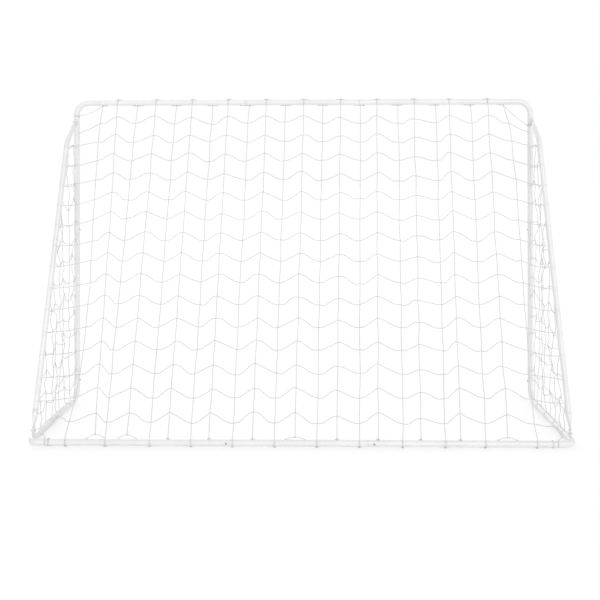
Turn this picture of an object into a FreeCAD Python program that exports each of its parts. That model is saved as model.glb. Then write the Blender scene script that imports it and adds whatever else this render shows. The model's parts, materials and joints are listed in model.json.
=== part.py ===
import FreeCAD, Part
import Sketcher
import math
import os

# A free-standing soccer goal frame of slip-jointed steel tube with its net.
# Millimetres.  +Z is up, the mouth of the goal faces -Y, and the origin lies on the ground
# under the centre of the goal.  "Right" is +X.  Only the right-hand pieces are drawn: the
# left-hand ones are their mirror images.

Vector = FreeCAD.Vector

DRIVING_SIZES = (
    # the goal as a whole, over the outside of its tubes
    ("overall_width", 1830),
    ("overall_height", 1200),
    ("overall_depth", 620),
    # frame tube and stay tube
    ("tube_diameter", 22),
    ("tube_wall", 1),
    ("stay_diameter", 19),
    ("stay_wall", 1),
    # bends, measured on the tube's centreline
    ("corner_bend", 48),
    ("foot_bend", 50),
    ("rear_bend", 38),
    ("stay_bend", 80),
    ("corner_lead", 12),
    # slip joints: a necked spigot in a plain socket, locked by a snap button; foot_lead is
    # the straight tube between the tip of a foot's spigot and the foot bend
    ("slip_clearance", 0.2),
    ("spigot_length", 40),
    ("spigot_lead", 0.6),
    ("shoulder_bevel", 1),
    ("bevel_depth", 0.7),
    ("neck_run", 6),
    ("bar_button_x", 245),
    ("post_button_z", 682),
    ("foot_lead", 0),
    ("button_setback", 20),
    # snap button
    ("button_diameter", 6),
    ("button_proud", 2.5),
    ("button_clearance", 0.2),
    ("dome_rise", 1.2),
    ("flange_diameter", 8.8),
    ("flange_height", 1),
    ("rivet_diameter", 2.8),
    ("rivet_head_diameter", 4.4),
    ("rivet_head_height", 0.6),
    # leaf spring behind the button
    ("leaf_width", 8),
    ("leaf_thickness", 0.6),
    ("leaf_length", 30),
    ("leaf_tip", 6),
    ("leaf_gap", 0.05),
    ("leaf_clearance", 0.2),
    # stays, their flattened ends and the lugs they bolt to
    ("stay_top_drop", 77),
    ("stay_knee_drop", 159),
    ("stay_knee_back", 140),
    ("lower_stay_length", 600),
    ("flat_width", 27),
    ("flat_length", 14),
    ("flat_transition", 30),
    ("flat_slit", 0.2),
    ("lug_thickness", 3),
    ("lug_width", 18),
    ("lug_reach", 16),
    ("lug_weld_depth", 0.9),
    # bolt, washer and lock nut of each flattened stay end
    ("bolt_diameter", 6),
    ("bolt_clearance", 0.2),
    ("thread_clearance", 0.05),
    ("bolt_tail", 1.5),
    ("bolt_head_height", 4),
    ("hexagon_width", 10),
    ("nut_height", 5),
    ("washer_diameter", 12),
    ("washer_thickness", 1.2),
    # net panels
    ("net_thickness", 1.5),
    ("net_clearance", 0.3),
    ("side_net_top_margin", 30),
    ("side_net_knee_back", 12),
    ("side_net_knee_drop", 18),
    ("side_net_foot_margin", 30),
)

doc = FreeCAD.newDocument("soccer_goal_frame")
sheet = doc.addObject("Spreadsheet::Sheet", "sizes")
places = doc.addObject("App::VarSet", "places")


class Size:
    """A number together with the expression that the document keeps it by."""

    def __init__(self, value, text):
        self.value = float(value)
        self.text = text

    def __add__(self, other):
        other = as_size(other)
        return Size(self.value + other.value, f"({self.text} + {other.text})")

    def __sub__(self, other):
        other = as_size(other)
        return Size(self.value - other.value, f"({self.text} - {other.text})")

    def __mul__(self, other):
        other = as_size(other)
        return Size(self.value * other.value, f"({self.text} * {other.text})")

    def __truediv__(self, other):
        other = as_size(other)
        return Size(self.value / other.value, f"({self.text} / {other.text})")

    def __neg__(self):
        return Size(-self.value, f"(-{self.text})")


def as_size(number):
    """Plain numbers, such as a 2 in a formula, become sizes too."""
    if isinstance(number, Size):
        return number
    return Size(number, str(number))


def square_root(size):
    return Size(math.sqrt(size.value), f"sqrt({size.text})")


def slope_degrees(rise, run):
    degrees = math.degrees(math.atan2(rise.value, run.value))
    return Size(degrees, f"(atan2({rise.text}; {run.text}) / 1 deg)")


def cosine(degrees):
    return Size(math.cos(math.radians(degrees.value)), f"cos({degrees.text} * 1 deg)")


def sine(degrees):
    return Size(math.sin(math.radians(degrees.value)), f"sin({degrees.text} * 1 deg)")


def fill_sheet():
    """Write every driving size into the spreadsheet and return them by name."""
    sizes = {}
    for row, (name, number) in enumerate(DRIVING_SIZES, start=1):
        sheet.set(f"A{row}", name)
        sheet.set(f"B{row}", str(number))
        sheet.setAlias(f"B{row}", name)
        sizes[name] = Size(number, f"sizes.{name}")
    return sizes


def place(name, size):
    """Keep a worked-out size under a name of its own in the document."""
    places.addProperty("App::PropertyFloat", name, "Worked out")
    places.setExpression(name, size.text)
    return Size(size.value, f"places.{name}")


D = fill_sheet()
ZERO = as_size(0)

# ---------------------------------------------------------------- worked-out places

TUBE_R = place("tube_r", D["tube_diameter"] / 2)
BORE_R = place("bore_r", TUBE_R - D["tube_wall"])
SPIGOT_R = place("spigot_r", BORE_R - D["slip_clearance"])
SPIGOT_BORE = place("spigot_bore", SPIGOT_R - D["tube_wall"])
BUTTON_R = place("button_r", D["button_diameter"] / 2)
BUTTON_HOLE_R = place("button_hole_r", BUTTON_R + D["button_clearance"])

# centrelines of the frame; the buttons of the rear bar are its rearmost points
POST_X = place("post_x", D["overall_width"] / 2 - TUBE_R)
FRONT_Y = place("front_y", TUBE_R - (D["overall_depth"] + D["button_proud"]) / 2)
REAR_Y = place("rear_y", FRONT_Y + D["overall_depth"] - D["tube_diameter"])
TOP_Z = place("top_z", D["overall_height"] - TUBE_R)
GROUND_Z = place("ground_z", D["tube_diameter"] / 2)
BAR_SEAM_X = place("bar_seam_x", D["bar_button_x"] - D["button_setback"])
POST_SEAM_Z = place("post_seam_z", D["post_button_z"] - D["button_setback"])
FOOT_SEAM_Z = place(
    "foot_seam_z", GROUND_Z + D["foot_bend"] + D["foot_lead"] + D["spigot_length"]
)
FOOT_BUTTON_Z = place("foot_button_z", FOOT_SEAM_Z - D["button_setback"])
SPLIT_Y = place("split_y", REAR_Y - D["rear_bend"] - D["corner_lead"])

# heights in a slip joint, measured from the tube's axis towards the button's tip
INNER_LIMIT = place("inner_limit", SPIGOT_BORE - D["leaf_clearance"])
FLANGE_R = place("flange_r", D["flange_diameter"] / 2)
FLANGE_TOP = place("flange_top", square_root(INNER_LIMIT * INNER_LIMIT - FLANGE_R * FLANGE_R))
FLANGE_BOTTOM = place("flange_bottom", FLANGE_TOP - D["flange_height"])
LEAF_TOP = place("leaf_top", FLANGE_BOTTOM - D["leaf_gap"])
LEAF_BOTTOM = place("leaf_bottom", LEAF_TOP - D["leaf_thickness"])
RIVET_HEAD_TOP = place("rivet_head_top", LEAF_BOTTOM - D["leaf_gap"])
RIVET_HEAD_BOTTOM = place("rivet_head_bottom", RIVET_HEAD_TOP - D["rivet_head_height"])
BUTTON_TIP = place("button_tip", TUBE_R + D["button_proud"])
HALF_LEAF = place("half_leaf", D["leaf_width"] / 2)
LEAF_FLOOR = place("leaf_floor", -square_root(INNER_LIMIT * INNER_LIMIT - HALF_LEAF * HALF_LEAF))

# stays: pivots on the lugs, the knee between them, and the runs either side of the knee
STAY_R = place("stay_r", D["stay_diameter"] / 2)
STAY_BORE_R = place("stay_bore_r", STAY_R - D["stay_wall"])
STAY_SPIGOT_R = place("stay_spigot_r", STAY_BORE_R - D["slip_clearance"])
STAY_SPIGOT_BORE = place("stay_spigot_bore", STAY_SPIGOT_R - D["stay_wall"])
TOP_PIVOT_Y = place("top_pivot_y", FRONT_Y + TUBE_R + D["lug_reach"])
TOP_PIVOT_Z = place("top_pivot_z", TOP_Z - D["stay_top_drop"])
LOW_PIVOT_Y = place("low_pivot_y", REAR_Y - D["rear_bend"] - D["lug_width"] / 2)
LOW_PIVOT_Z = place("low_pivot_z", D["tube_diameter"] + D["lug_reach"])
KNEE_Y = place("knee_y", FRONT_Y + D["stay_knee_back"])
KNEE_Z = place("knee_z", TOP_Z - D["stay_knee_drop"])
UPPER_SLOPE = place("upper_slope", slope_degrees(TOP_PIVOT_Z - KNEE_Z, KNEE_Y - TOP_PIVOT_Y))
LOWER_SLOPE = place("lower_slope", slope_degrees(KNEE_Z - LOW_PIVOT_Z, LOW_PIVOT_Y - KNEE_Y))
KNEE_TURN = place("knee_turn", LOWER_SLOPE - UPPER_SLOPE)
UPPER_RUN = place("upper_run", (KNEE_Y - TOP_PIVOT_Y) / cosine(UPPER_SLOPE))
LOWER_RUN = place("lower_run", (KNEE_Z - LOW_PIVOT_Z) / sine(LOWER_SLOPE))
SOCKET_RUN = place("socket_run", LOWER_RUN - D["lower_stay_length"])
FLAT_THICKNESS = place("flat_thickness", D["stay_wall"] * 2)
FLAT_END = place("flat_end", D["flat_length"] + D["flat_transition"])
BOLT_R = place("bolt_r", D["bolt_diameter"] / 2)
BOLT_HOLE_R = place("bolt_hole_r", BOLT_R + D["bolt_clearance"])

# across each lug, along X from the post's centreline plane
FLAT_FACE = place("flat_face", FLAT_THICKNESS / 2)
LUG_BACK = place("lug_back", -(FLAT_FACE + D["lug_thickness"]))
NUT_SEAT = place("nut_seat", FLAT_FACE + D["washer_thickness"])
BOLT_END = place("bolt_end", NUT_SEAT + D["nut_height"] + D["bolt_tail"])

doc.recompute()


# ---------------------------------------------------------------- sketch helpers


def new_body(name):
    body = doc.addObject("PartDesign::Body", name)
    body.Label = name
    return body


def new_sketch(body, role, offset=ZERO):
    """A sketch on one of the body's own origin planes, moved along the plane's normal."""
    sketch = body.newObject("Sketcher::SketchObject", "Sketch")
    plane = next(f for f in body.Origin.OriginFeatures if f.Role == role)
    sketch.AttachmentSupport = [(plane, "")]
    sketch.MapMode = "FlatFace"
    sketch.setExpression("AttachmentOffset.Base.z", offset.text)
    return sketch


def bind(sketch, kind, *places_and_size):
    """Add a dimension to the sketch and tie it to its size's expression."""
    *where, size = places_and_size
    index = sketch.addConstraint(Sketcher.Constraint(kind, *where, size.value))
    sketch.setExpression(f"Constraints[{index}]", size.text)


def fix_point(sketch, item, end, across, up):
    """Tie one point of the sketch to its two coordinates."""
    for kind, axis, size in (("DistanceX", -2, across), ("DistanceY", -1, up)):
        if size is ZERO:
            sketch.addConstraint(Sketcher.Constraint("PointOnObject", item, end, axis))
        elif size.value < 0:
            bind(sketch, kind, item, end, -1, 1, -size)
        else:
            bind(sketch, kind, -1, 1, item, end, size)


def circle(sketch, across, up, radius):
    centre = Vector(across.value, up.value, 0)
    item = sketch.addGeometry(Part.Circle(centre, Vector(0, 0, 1), radius.value))
    bind(sketch, "Radius", item, radius)
    fix_point(sketch, item, 3, across, up)


def ring(sketch, across, up, outer, inner):
    circle(sketch, across, up, outer)
    circle(sketch, across, up, inner)


def arc_between(start, end, centre, radius, turns_left):
    """The arc from start to end; the sketcher keeps every arc anticlockwise."""
    first, last = (start, end) if turns_left else (end, start)
    low = math.atan2(first.y - centre.y, first.x - centre.x)
    high = math.atan2(last.y - centre.y, last.x - centre.x)
    if high < low:
        high += 2 * math.pi
    return Part.ArcOfCircle(Part.Circle(centre, Vector(0, 0, 1), radius), low, high)


def route(sketch, corners, radii):
    """A tube's centreline: straight runs through the corners, joined by tangent bends."""
    points = [Vector(across.value, up.value, 0) for across, up in corners]
    runs = [(b - a).normalize() for a, b in zip(points, points[1:])]
    cuts = [0.0]
    for before, after, radius in zip(runs, runs[1:], radii):
        cuts.append(radius.value * math.tan(before.getAngle(after) / 2))
    cuts.append(0.0)
    lines = []
    for index, run in enumerate(runs):
        start = points[index] + run * cuts[index]
        end = points[index + 1] - run * cuts[index + 1]
        lines.append(sketch.addGeometry(Part.LineSegment(start, end)))
    for index, radius in enumerate(radii, start=1):
        before, after = runs[index - 1], runs[index]
        start = points[index] - before * cuts[index]
        end = points[index] + after * cuts[index]
        inward = (after - before).normalize()
        centre = points[index] + inward * math.hypot(radius.value, cuts[index])
        turns_left = before.cross(after).z > 0
        bend = sketch.addGeometry(
            arc_between(start, end, centre, radius.value, turns_left)
        )
        enters, leaves = (1, 2) if turns_left else (2, 1)
        smooth = Sketcher.Constraint("Tangent", lines[index - 1], 2, bend, enters)
        sketch.addConstraint(smooth)
        smooth = Sketcher.Constraint("Tangent", bend, leaves, lines[index], 1)
        sketch.addConstraint(smooth)
        bind(sketch, "Radius", bend, radius)
        corner = sketch.addGeometry(Part.Point(points[index]), True)
        for line in (lines[index - 1], lines[index]):
            sketch.addConstraint(Sketcher.Constraint("PointOnObject", corner, 1, line))
        fix_point(sketch, corner, 1, *corners[index])
    fix_point(sketch, lines[0], 1, *corners[0])
    fix_point(sketch, lines[-1], 2, *corners[-1])


def outline(sketch, corners, arcs=None):
    """A closed outline through the corners; arcs gives the radius of each curved side."""
    arcs = arcs or {}
    points = [Vector(across.value, up.value, 0) for across, up in corners]
    count = len(points)
    sides = []
    for index in range(count):
        start, end = points[index], points[(index + 1) % count]
        if index not in arcs:
            side = sketch.addGeometry(Part.LineSegment(start, end))
            sides.append((side, 1, 2))
            continue
        radius = arcs[index]
        chord = end - start
        inward = Vector(-chord.y, chord.x, 0).normalize()
        rest = math.sqrt(max(radius.value**2 - (chord.Length / 2) ** 2, 0.0))
        centre = (start + end) * 0.5 + inward * rest
        side = sketch.addGeometry(arc_between(start, end, centre, radius.value, True))
        bind(sketch, "Radius", side, radius)
        sides.append((side, 1, 2))
    for index in range(count):
        side, _, last = sides[index]
        following, first, _ = sides[(index + 1) % count]
        sketch.addConstraint(
            Sketcher.Constraint("Coincident", side, last, following, first)
        )
        if index not in arcs or (index - 1) % count not in arcs:
            fix_point(sketch, side, 1, *corners[index])


# ---------------------------------------------------------------- feature helpers


def pad(body, sketch, length):
    feature = body.newObject("PartDesign::Pad", "Pad")
    feature.Profile = sketch
    feature.setExpression("Length", length.text)
    return feature


def pipe(body, profile, centreline):
    """Sweep a profile along every edge of a centreline sketch."""
    feature = body.newObject("PartDesign::AdditivePipe", "Pipe")
    feature.Profile = profile
    doc.recompute()
    edges = [f"Edge{i}" for i in range(1, len(centreline.Shape.Edges) + 1)]
    feature.Spine = (centreline, edges)
    return feature


def revolve(body, sketch, axis="V_Axis"):
    feature = body.newObject("PartDesign::Revolution", "Revolution")
    feature.Profile = sketch
    feature.ReferenceAxis = (sketch, [axis])
    feature.Angle = 360
    return feature


def button_hole(body, role, offset, across, up, reverse=False):
    """Cut one button hole from the tube's axis plane out through one wall."""
    doc.recompute()
    before = body.Shape.Volume
    sketch = new_sketch(body, role, offset)
    circle(sketch, across, up, BUTTON_HOLE_R)
    hole = body.newObject("PartDesign::Pocket", "ButtonHole")
    hole.Profile = sketch
    hole.setExpression("Length", (TUBE_R + 1).text)
    hole.Reversed = reverse
    doc.recompute()
    if body.Shape.Volume >= before - 1:
        raise RuntimeError(f"{body.Label}: a button hole cut nothing")


def frame_turned(x_axis, y_axis, z_axis):
    """The rotation that turns the piece's own axes to these directions."""
    return FreeCAD.Rotation(Vector(*x_axis), Vector(*y_axis), Vector(*z_axis), "XYZ")


def put(thing, rotation, x, y, z):
    """Place a piece; its position stays tied to its sizes."""
    thing.Placement = FreeCAD.Placement(Vector(x.value, y.value, z.value), rotation)
    for letter, size in zip("xyz", (x, y, z)):
        thing.setExpression(f"Placement.Base.{letter}", size.text)


def mirrored(thing, name):
    """The left-hand twin of a right-hand piece."""
    twin = doc.addObject("Part::Mirroring", name)
    twin.Label = name
    twin.Source = thing
    twin.Normal = Vector(1, 0, 0)
    twin.Base = Vector(0, 0, 0)
    return twin


def primitive(kind, name, **sizes):
    """A Part primitive whose sizes are tied to the document's."""
    thing = doc.addObject(f"Part::{kind}", name)
    for prop, size in sizes.items():
        thing.setExpression(prop, size.text)
    return thing


def fused(name, things):
    fusion = doc.addObject("Part::MultiFuse", name)
    fusion.Shapes = things
    return fusion


def cut(name, base, tool):
    result = doc.addObject("Part::Cut", name)
    result.Base = base
    result.Tool = tool
    return result


# ---------------------------------------------------------------- frame tubes


def lug(body, root, pivot_y, pivot_z, upright):
    """Weld a lug to the tube: a plate from its root to a round end with a bolt hole."""
    half = D["lug_width"] / 2
    sketch = new_sketch(body, "YZ_Plane", POST_X + LUG_BACK)
    if upright:
        corners = (
            (pivot_y - half, root),
            (pivot_y + half, root),
            (pivot_y + half, pivot_z),
            (pivot_y - half, pivot_z),
        )
        round_side = 2
    else:
        corners = (
            (root, pivot_z - half),
            (pivot_y, pivot_z - half),
            (pivot_y, pivot_z + half),
            (root, pivot_z + half),
        )
        round_side = 1
    straight = [i for i in range(4) if i != round_side]
    points = [Vector(across.value, up.value, 0) for across, up in corners]
    items = {}
    for index in straight:
        line = Part.LineSegment(points[index], points[(index + 1) % 4])
        items[index] = sketch.addGeometry(line)
    centre = Vector(pivot_y.value, pivot_z.value, 0)
    start, end = points[round_side], points[(round_side + 1) % 4]
    items[round_side] = sketch.addGeometry(
        arc_between(start, end, centre, half.value, True)
    )
    for index in range(4):
        kind = "Tangent" if round_side in (index, (index + 1) % 4) else "Coincident"
        following = items[(index + 1) % 4]
        sketch.addConstraint(Sketcher.Constraint(kind, items[index], 2, following, 1))
    far = (round_side + 2) % 4
    fix_point(sketch, items[far], 1, *corners[far])
    fix_point(sketch, items[far], 2, *corners[(far + 1) % 4])
    fix_point(sketch, items[round_side], 3, pivot_y, pivot_z)
    circle(sketch, pivot_y, pivot_z, BOLT_HOLE_R)
    pad(body, sketch, D["lug_thickness"])


def corner_tube():
    """Outer part of the crossbar, the top corner and the upper part of the post."""
    body = new_body("right_corner_tube")
    centreline = new_sketch(body, "XZ_Plane", -FRONT_Y)
    route(
        centreline,
        ((BAR_SEAM_X, TOP_Z), (POST_X, TOP_Z), (POST_X, POST_SEAM_Z)),
        (D["corner_bend"],),
    )
    section = new_sketch(body, "YZ_Plane", BAR_SEAM_X)
    ring(section, FRONT_Y, TOP_Z, TUBE_R, BORE_R)
    pipe(body, section, centreline)
    lug_root = FRONT_Y + TUBE_R - D["lug_weld_depth"]
    lug(body, lug_root, TOP_PIVOT_Y, TOP_PIVOT_Z, upright=False)
    button_hole(body, "XY_Plane", TOP_Z, D["bar_button_x"], FRONT_Y)
    button_hole(body, "YZ_Plane", POST_X, FRONT_Y, D["post_button_z"])
    return body


def base_tube():
    """Foot bend, ground rail, rear corner and outer part of the rear bar."""
    body = new_body("right_base_tube")
    rail = new_sketch(body, "YZ_Plane", POST_X)
    route(
        rail,
        ((FRONT_Y, FOOT_SEAM_Z), (FRONT_Y, GROUND_Z), (SPLIT_Y, GROUND_Z)),
        (D["foot_bend"],),
    )
    section = new_sketch(body, "XY_Plane", FOOT_SEAM_Z)
    ring(section, POST_X, FRONT_Y, TUBE_R, BORE_R)
    pipe(body, section, rail)
    corner = new_sketch(body, "XY_Plane", GROUND_Z)
    route(
        corner,
        ((POST_X, SPLIT_Y), (POST_X, REAR_Y), (BAR_SEAM_X, REAR_Y)),
        (D["rear_bend"],),
    )
    section = new_sketch(body, "XZ_Plane", -SPLIT_Y)
    ring(section, POST_X, GROUND_Z, TUBE_R, BORE_R)
    pipe(body, section, corner)
    lug_root = D["tube_diameter"] - D["lug_weld_depth"]
    lug(body, lug_root, LOW_PIVOT_Y, LOW_PIVOT_Z, upright=True)
    button_hole(body, "YZ_Plane", POST_X, FRONT_Y, FOOT_BUTTON_Z)
    button_hole(body, "XZ_Plane", -REAR_Y, D["bar_button_x"], GROUND_Z)
    return body


def neck(body, seam, outward):
    """Necked end: a bevelled shoulder at the seam and a spigot beyond it, about local Z."""

    def along(distance):
        return seam + distance if outward > 0 else seam - distance

    def back(distance):
        return seam - distance if outward > 0 else seam + distance

    tip = D["spigot_length"]
    corners = [
        (TUBE_R, back(D["neck_run"])),
        (TUBE_R, back(D["shoulder_bevel"])),
        (TUBE_R - D["bevel_depth"], seam),
        (SPIGOT_R, seam),
        (SPIGOT_R, along(tip - D["spigot_lead"])),
        (SPIGOT_R - D["spigot_lead"], along(tip)),
        (SPIGOT_BORE, along(tip)),
        (SPIGOT_BORE, back(D["shoulder_bevel"])),
        (BORE_R, back(D["neck_run"])),
    ]
    sketch = new_sketch(body, "XZ_Plane")
    outline(sketch, corners)
    revolve(body, sketch)


def straight_tube(name, low_seam, high_seam, low_button, high_button):
    """A straight tube along local Z, necked at both ends, its buttons towards local X."""
    body = new_body(name)
    start = low_seam + D["neck_run"]
    section = new_sketch(body, "XY_Plane", start)
    ring(section, ZERO, ZERO, TUBE_R, BORE_R)
    pad(body, section, high_seam - D["neck_run"] - start)
    neck(body, high_seam, 1)
    neck(body, low_seam, -1)
    for height in (low_button, high_button):
        button_hole(body, "YZ_Plane", ZERO, ZERO, height, reverse=True)
    return body


def centre_bar(name, y, z, button_way):
    """Centre tube of the crossbar or rear bar, with its buttons pointing button_way."""
    body = straight_tube(
        name, -BAR_SEAM_X, BAR_SEAM_X, -D["bar_button_x"], D["bar_button_x"]
    )
    along = Vector(1, 0, 0)
    side = along.cross(Vector(*button_way))
    put(body, frame_turned(button_way, tuple(side), tuple(along)), ZERO, y, z)
    return body


def lower_post():
    body = straight_tube(
        "right_lower_post",
        FOOT_SEAM_Z,
        POST_SEAM_Z,
        FOOT_BUTTON_Z,
        D["post_button_z"],
    )
    inward = frame_turned((-1, 0, 0), (0, -1, 0), (0, 0, 1))
    put(body, inward, POST_X, FRONT_Y, ZERO)
    return body


# ---------------------------------------------------------------- stays

# A stay is drawn in its own frame: its pivot is the origin, local X runs along the tube from
# the pivot, and local Z is the pivot's axis.

ALONG_X = FreeCAD.Rotation(Vector(0, 1, 0), 90)


def flattened_end(name):
    """The solid and the hollow of a stay's flattened end, up to where the tube is round."""
    tongue = primitive(
        "Box",
        f"{name}_tongue",
        Length=D["flat_length"],
        Width=D["flat_width"],
        Height=FLAT_THICKNESS,
    )
    put(tongue, FreeCAD.Rotation(), ZERO, -(D["flat_width"] / 2), -FLAT_FACE)
    eye = primitive(
        "Cylinder", f"{name}_eye", Radius=D["flat_width"] / 2, Height=FLAT_THICKNESS
    )
    put(eye, FreeCAD.Rotation(), ZERO, ZERO, -FLAT_FACE)
    hull = loft(name + "_hull", STAY_R, D["flat_width"] / 2, FLAT_FACE)
    slit = D["flat_width"] / 2 - D["stay_wall"]
    hollow = loft(name + "_hollow", STAY_BORE_R, slit, D["flat_slit"] / 2)
    hole = primitive(
        "Cylinder", f"{name}_hole", Radius=BOLT_HOLE_R, Height=FLAT_THICKNESS * 2
    )
    put(hole, FreeCAD.Rotation(), ZERO, ZERO, -FLAT_THICKNESS)
    return [tongue, eye, hull], [hollow, hole]


def loft(name, round_radius, half_width, half_thickness):
    """From a flat oval at the tongue to the round tube."""
    flat = primitive(
        "Ellipse", name + "_flat", MajorRadius=half_width, MinorRadius=half_thickness
    )
    turned = frame_turned((0, 1, 0), (0, 0, 1), (1, 0, 0))
    put(flat, turned, D["flat_length"], ZERO, ZERO)
    full = primitive("Circle", name + "_round", Radius=round_radius)
    put(full, turned, FLAT_END, ZERO, ZERO)
    body = doc.addObject("Part::Loft", name)
    body.Sections = [flat, full]
    body.Solid = True
    body.Ruled = True
    return body


def bent_rod(name, radius):
    """The upper stay's round part, swept along both runs and the knee between them."""
    centreline = doc.addObject("Sketcher::SketchObject", name + "_line")
    end_x = UPPER_RUN + SOCKET_RUN * cosine(KNEE_TURN)
    end_y = -(SOCKET_RUN * sine(KNEE_TURN))
    route(
        centreline,
        ((FLAT_END, ZERO), (UPPER_RUN, ZERO), (end_x, end_y)),
        (D["stay_bend"],),
    )
    section = primitive("Circle", name + "_section", Radius=radius)
    put(section, ALONG_X, FLAT_END, ZERO, ZERO)
    doc.recompute()
    sweep = doc.addObject("Part::Sweep", name)
    sweep.Sections = [section]
    edges = [f"Edge{i}" for i in range(1, len(centreline.Shape.Edges) + 1)]
    sweep.Spine = (centreline, edges)
    sweep.Solid = True
    return sweep


def upper_stay():
    """Flattened top end, knee, and the socket that takes the lower stay."""
    name = "right_upper_stay"
    solids, hollows = flattened_end("upper_end")
    solids.append(bent_rod("upper_rod", STAY_R))
    hollows.append(bent_rod("upper_bore", STAY_BORE_R))
    stay = cut(name, fused("upper_solid", solids), fused("upper_hollows", hollows))
    stay.Label = name
    slope = math.radians(UPPER_SLOPE.value)
    run = (0, math.cos(slope), -math.sin(slope))
    above = (0, math.sin(slope), math.cos(slope))
    put(stay, frame_turned(run, above, (1, 0, 0)), POST_X, TOP_PIVOT_Y, TOP_PIVOT_Z)
    return stay


def rod(name, radius, start, end):
    """A round bar along local X."""
    bar = primitive("Cylinder", name, Radius=radius, Height=end - start)
    put(bar, ALONG_X, start, ZERO, ZERO)
    return bar


def lower_stay():
    """Flattened bottom end, straight tube and the spigot that fits the upper stay."""
    name = "right_lower_stay"
    solids, hollows = flattened_end("lower_end")
    seam = D["lower_stay_length"]
    inside = seam - D["neck_run"]
    tip = seam + D["spigot_length"]
    solids.append(rod("lower_rod", STAY_R, FLAT_END, seam - D["shoulder_bevel"]))
    solids.append(
        cone("lower_shoulder", STAY_R, STAY_R - D["bevel_depth"], seam)
    )
    solids.append(rod("lower_spigot", STAY_SPIGOT_R, seam - D["shoulder_bevel"], tip))
    hollows.append(rod("lower_bore", STAY_BORE_R, FLAT_END, inside))
    hollows.append(rod("lower_spigot_bore", STAY_SPIGOT_BORE, inside, tip))
    stay = cut(name, fused("lower_solid", solids), fused("lower_hollows", hollows))
    stay.Label = name
    slope = math.radians(LOWER_SLOPE.value)
    run = (0, -math.cos(slope), math.sin(slope))
    below = (0, -math.sin(slope), -math.cos(slope))
    put(stay, frame_turned(run, below, (1, 0, 0)), POST_X, LOW_PIVOT_Y, LOW_PIVOT_Z)
    return stay


def cone(name, wide, narrow, seam):
    """The bevelled shoulder where the tube necks down."""
    shoulder = primitive(
        "Cone", name, Radius1=wide, Radius2=narrow, Height=D["shoulder_bevel"]
    )
    put(shoulder, ALONG_X, seam - D["shoulder_bevel"], ZERO, ZERO)
    return shoulder


# ---------------------------------------------------------------- snap buttons and springs

# A snap button is drawn on local Z, its tip up, with the origin on the tube's axis.
# Local X points from the button to the middle of the tube that carries it.

SLIP_JOINTS = (
    # name, the button's place on the tube's axis, its direction, and local X
    ("crossbar", (D["bar_button_x"], FRONT_Y, TOP_Z), (0, 0, -1), (-1, 0, 0)),
    ("post", (POST_X, FRONT_Y, D["post_button_z"]), (-1, 0, 0), (0, 0, -1)),
    ("foot", (POST_X, FRONT_Y, FOOT_BUTTON_Z), (-1, 0, 0), (0, 0, 1)),
    ("rear_bar", (D["bar_button_x"], REAR_Y, GROUND_Z), (0, 1, 0), (-1, 0, 0)),
)


def joint_rotation(outward, inside):
    side = Vector(*outward).cross(Vector(*inside))
    return frame_turned(inside, tuple(side), outward)


def snap_button(name, where, rotation):
    """Domed pin, flange and rivet, turned in one piece."""
    body = new_body(name)
    rivet_r = D["rivet_diameter"] / 2
    head_r = D["rivet_head_diameter"] / 2
    rise = D["dome_rise"]
    dome_radius = (BUTTON_R * BUTTON_R + rise * rise) / (rise * 2)
    corners = [
        (ZERO, RIVET_HEAD_BOTTOM),
        (head_r, RIVET_HEAD_BOTTOM),
        (head_r, RIVET_HEAD_TOP),
        (rivet_r, RIVET_HEAD_TOP),
        (rivet_r, FLANGE_BOTTOM),
        (FLANGE_R, FLANGE_BOTTOM),
        (FLANGE_R, FLANGE_TOP),
        (BUTTON_R, FLANGE_TOP),
        (BUTTON_R, BUTTON_TIP - rise),
        (ZERO, BUTTON_TIP),
    ]
    sketch = new_sketch(body, "XZ_Plane")
    outline(sketch, corners, arcs={8: dome_radius})
    revolve(body, sketch)
    put(body, rotation, *where)
    return body


def leaf_spring(name, where, rotation):
    """A hairpin of spring strip: one leg under the button, the other on the far wall."""
    thickness = D["leaf_thickness"]
    width = D["leaf_width"]
    tip = D["leaf_tip"]
    length = tip + D["leaf_length"]
    bend_r = (LEAF_TOP - LEAF_FLOOR) / 2
    legs = []
    for leg, low in (("upper", LEAF_BOTTOM), ("lower", LEAF_FLOOR)):
        strip = primitive(
            "Box", f"{name}_{leg}", Length=length, Width=width, Height=thickness
        )
        put(strip, FreeCAD.Rotation(), -tip, -HALF_LEAF, low)
        legs.append(strip)
    bend_axis = frame_turned((0, 0, -1), (1, 0, 0), (0, -1, 0))
    bends = []
    for part, radius in (("bend", bend_r), ("hollow", bend_r - thickness)):
        half = primitive("Cylinder", f"{name}_{part}", Radius=radius, Height=width)
        half.Angle = 180
        put(half, bend_axis, D["leaf_length"], HALF_LEAF, LEAF_TOP - bend_r)
        bends.append(half)
    hairpin = fused(f"{name}_strip", legs + [cut(f"{name}_curve", *bends)])
    hole = primitive(
        "Cylinder",
        f"{name}_hole",
        Radius=D["rivet_diameter"] / 2 + D["leaf_gap"],
        Height=thickness * 3,
    )
    put(hole, FreeCAD.Rotation(), ZERO, ZERO, LEAF_BOTTOM - thickness)
    spring = cut(name, hairpin, hole)
    spring.Label = name
    put(spring, rotation, *where)
    return spring


# ---------------------------------------------------------------- bolts, washers and nuts

# Each fastener is drawn about local Z, which lies along +X in the goal.

PIVOTS = (("top", TOP_PIVOT_Y, TOP_PIVOT_Z), ("low", LOW_PIVOT_Y, LOW_PIVOT_Z))
CROSSWISE = frame_turned((0, 1, 0), (0, 0, 1), (1, 0, 0))
HEXAGON_R = D["hexagon_width"] / square_root(as_size(3))


def hexagon(name, height, start):
    prism = primitive("Prism", name, Circumradius=HEXAGON_R, Height=height)
    prism.Polygon = 6
    put(prism, FreeCAD.Rotation(), ZERO, ZERO, start)
    return prism


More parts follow.
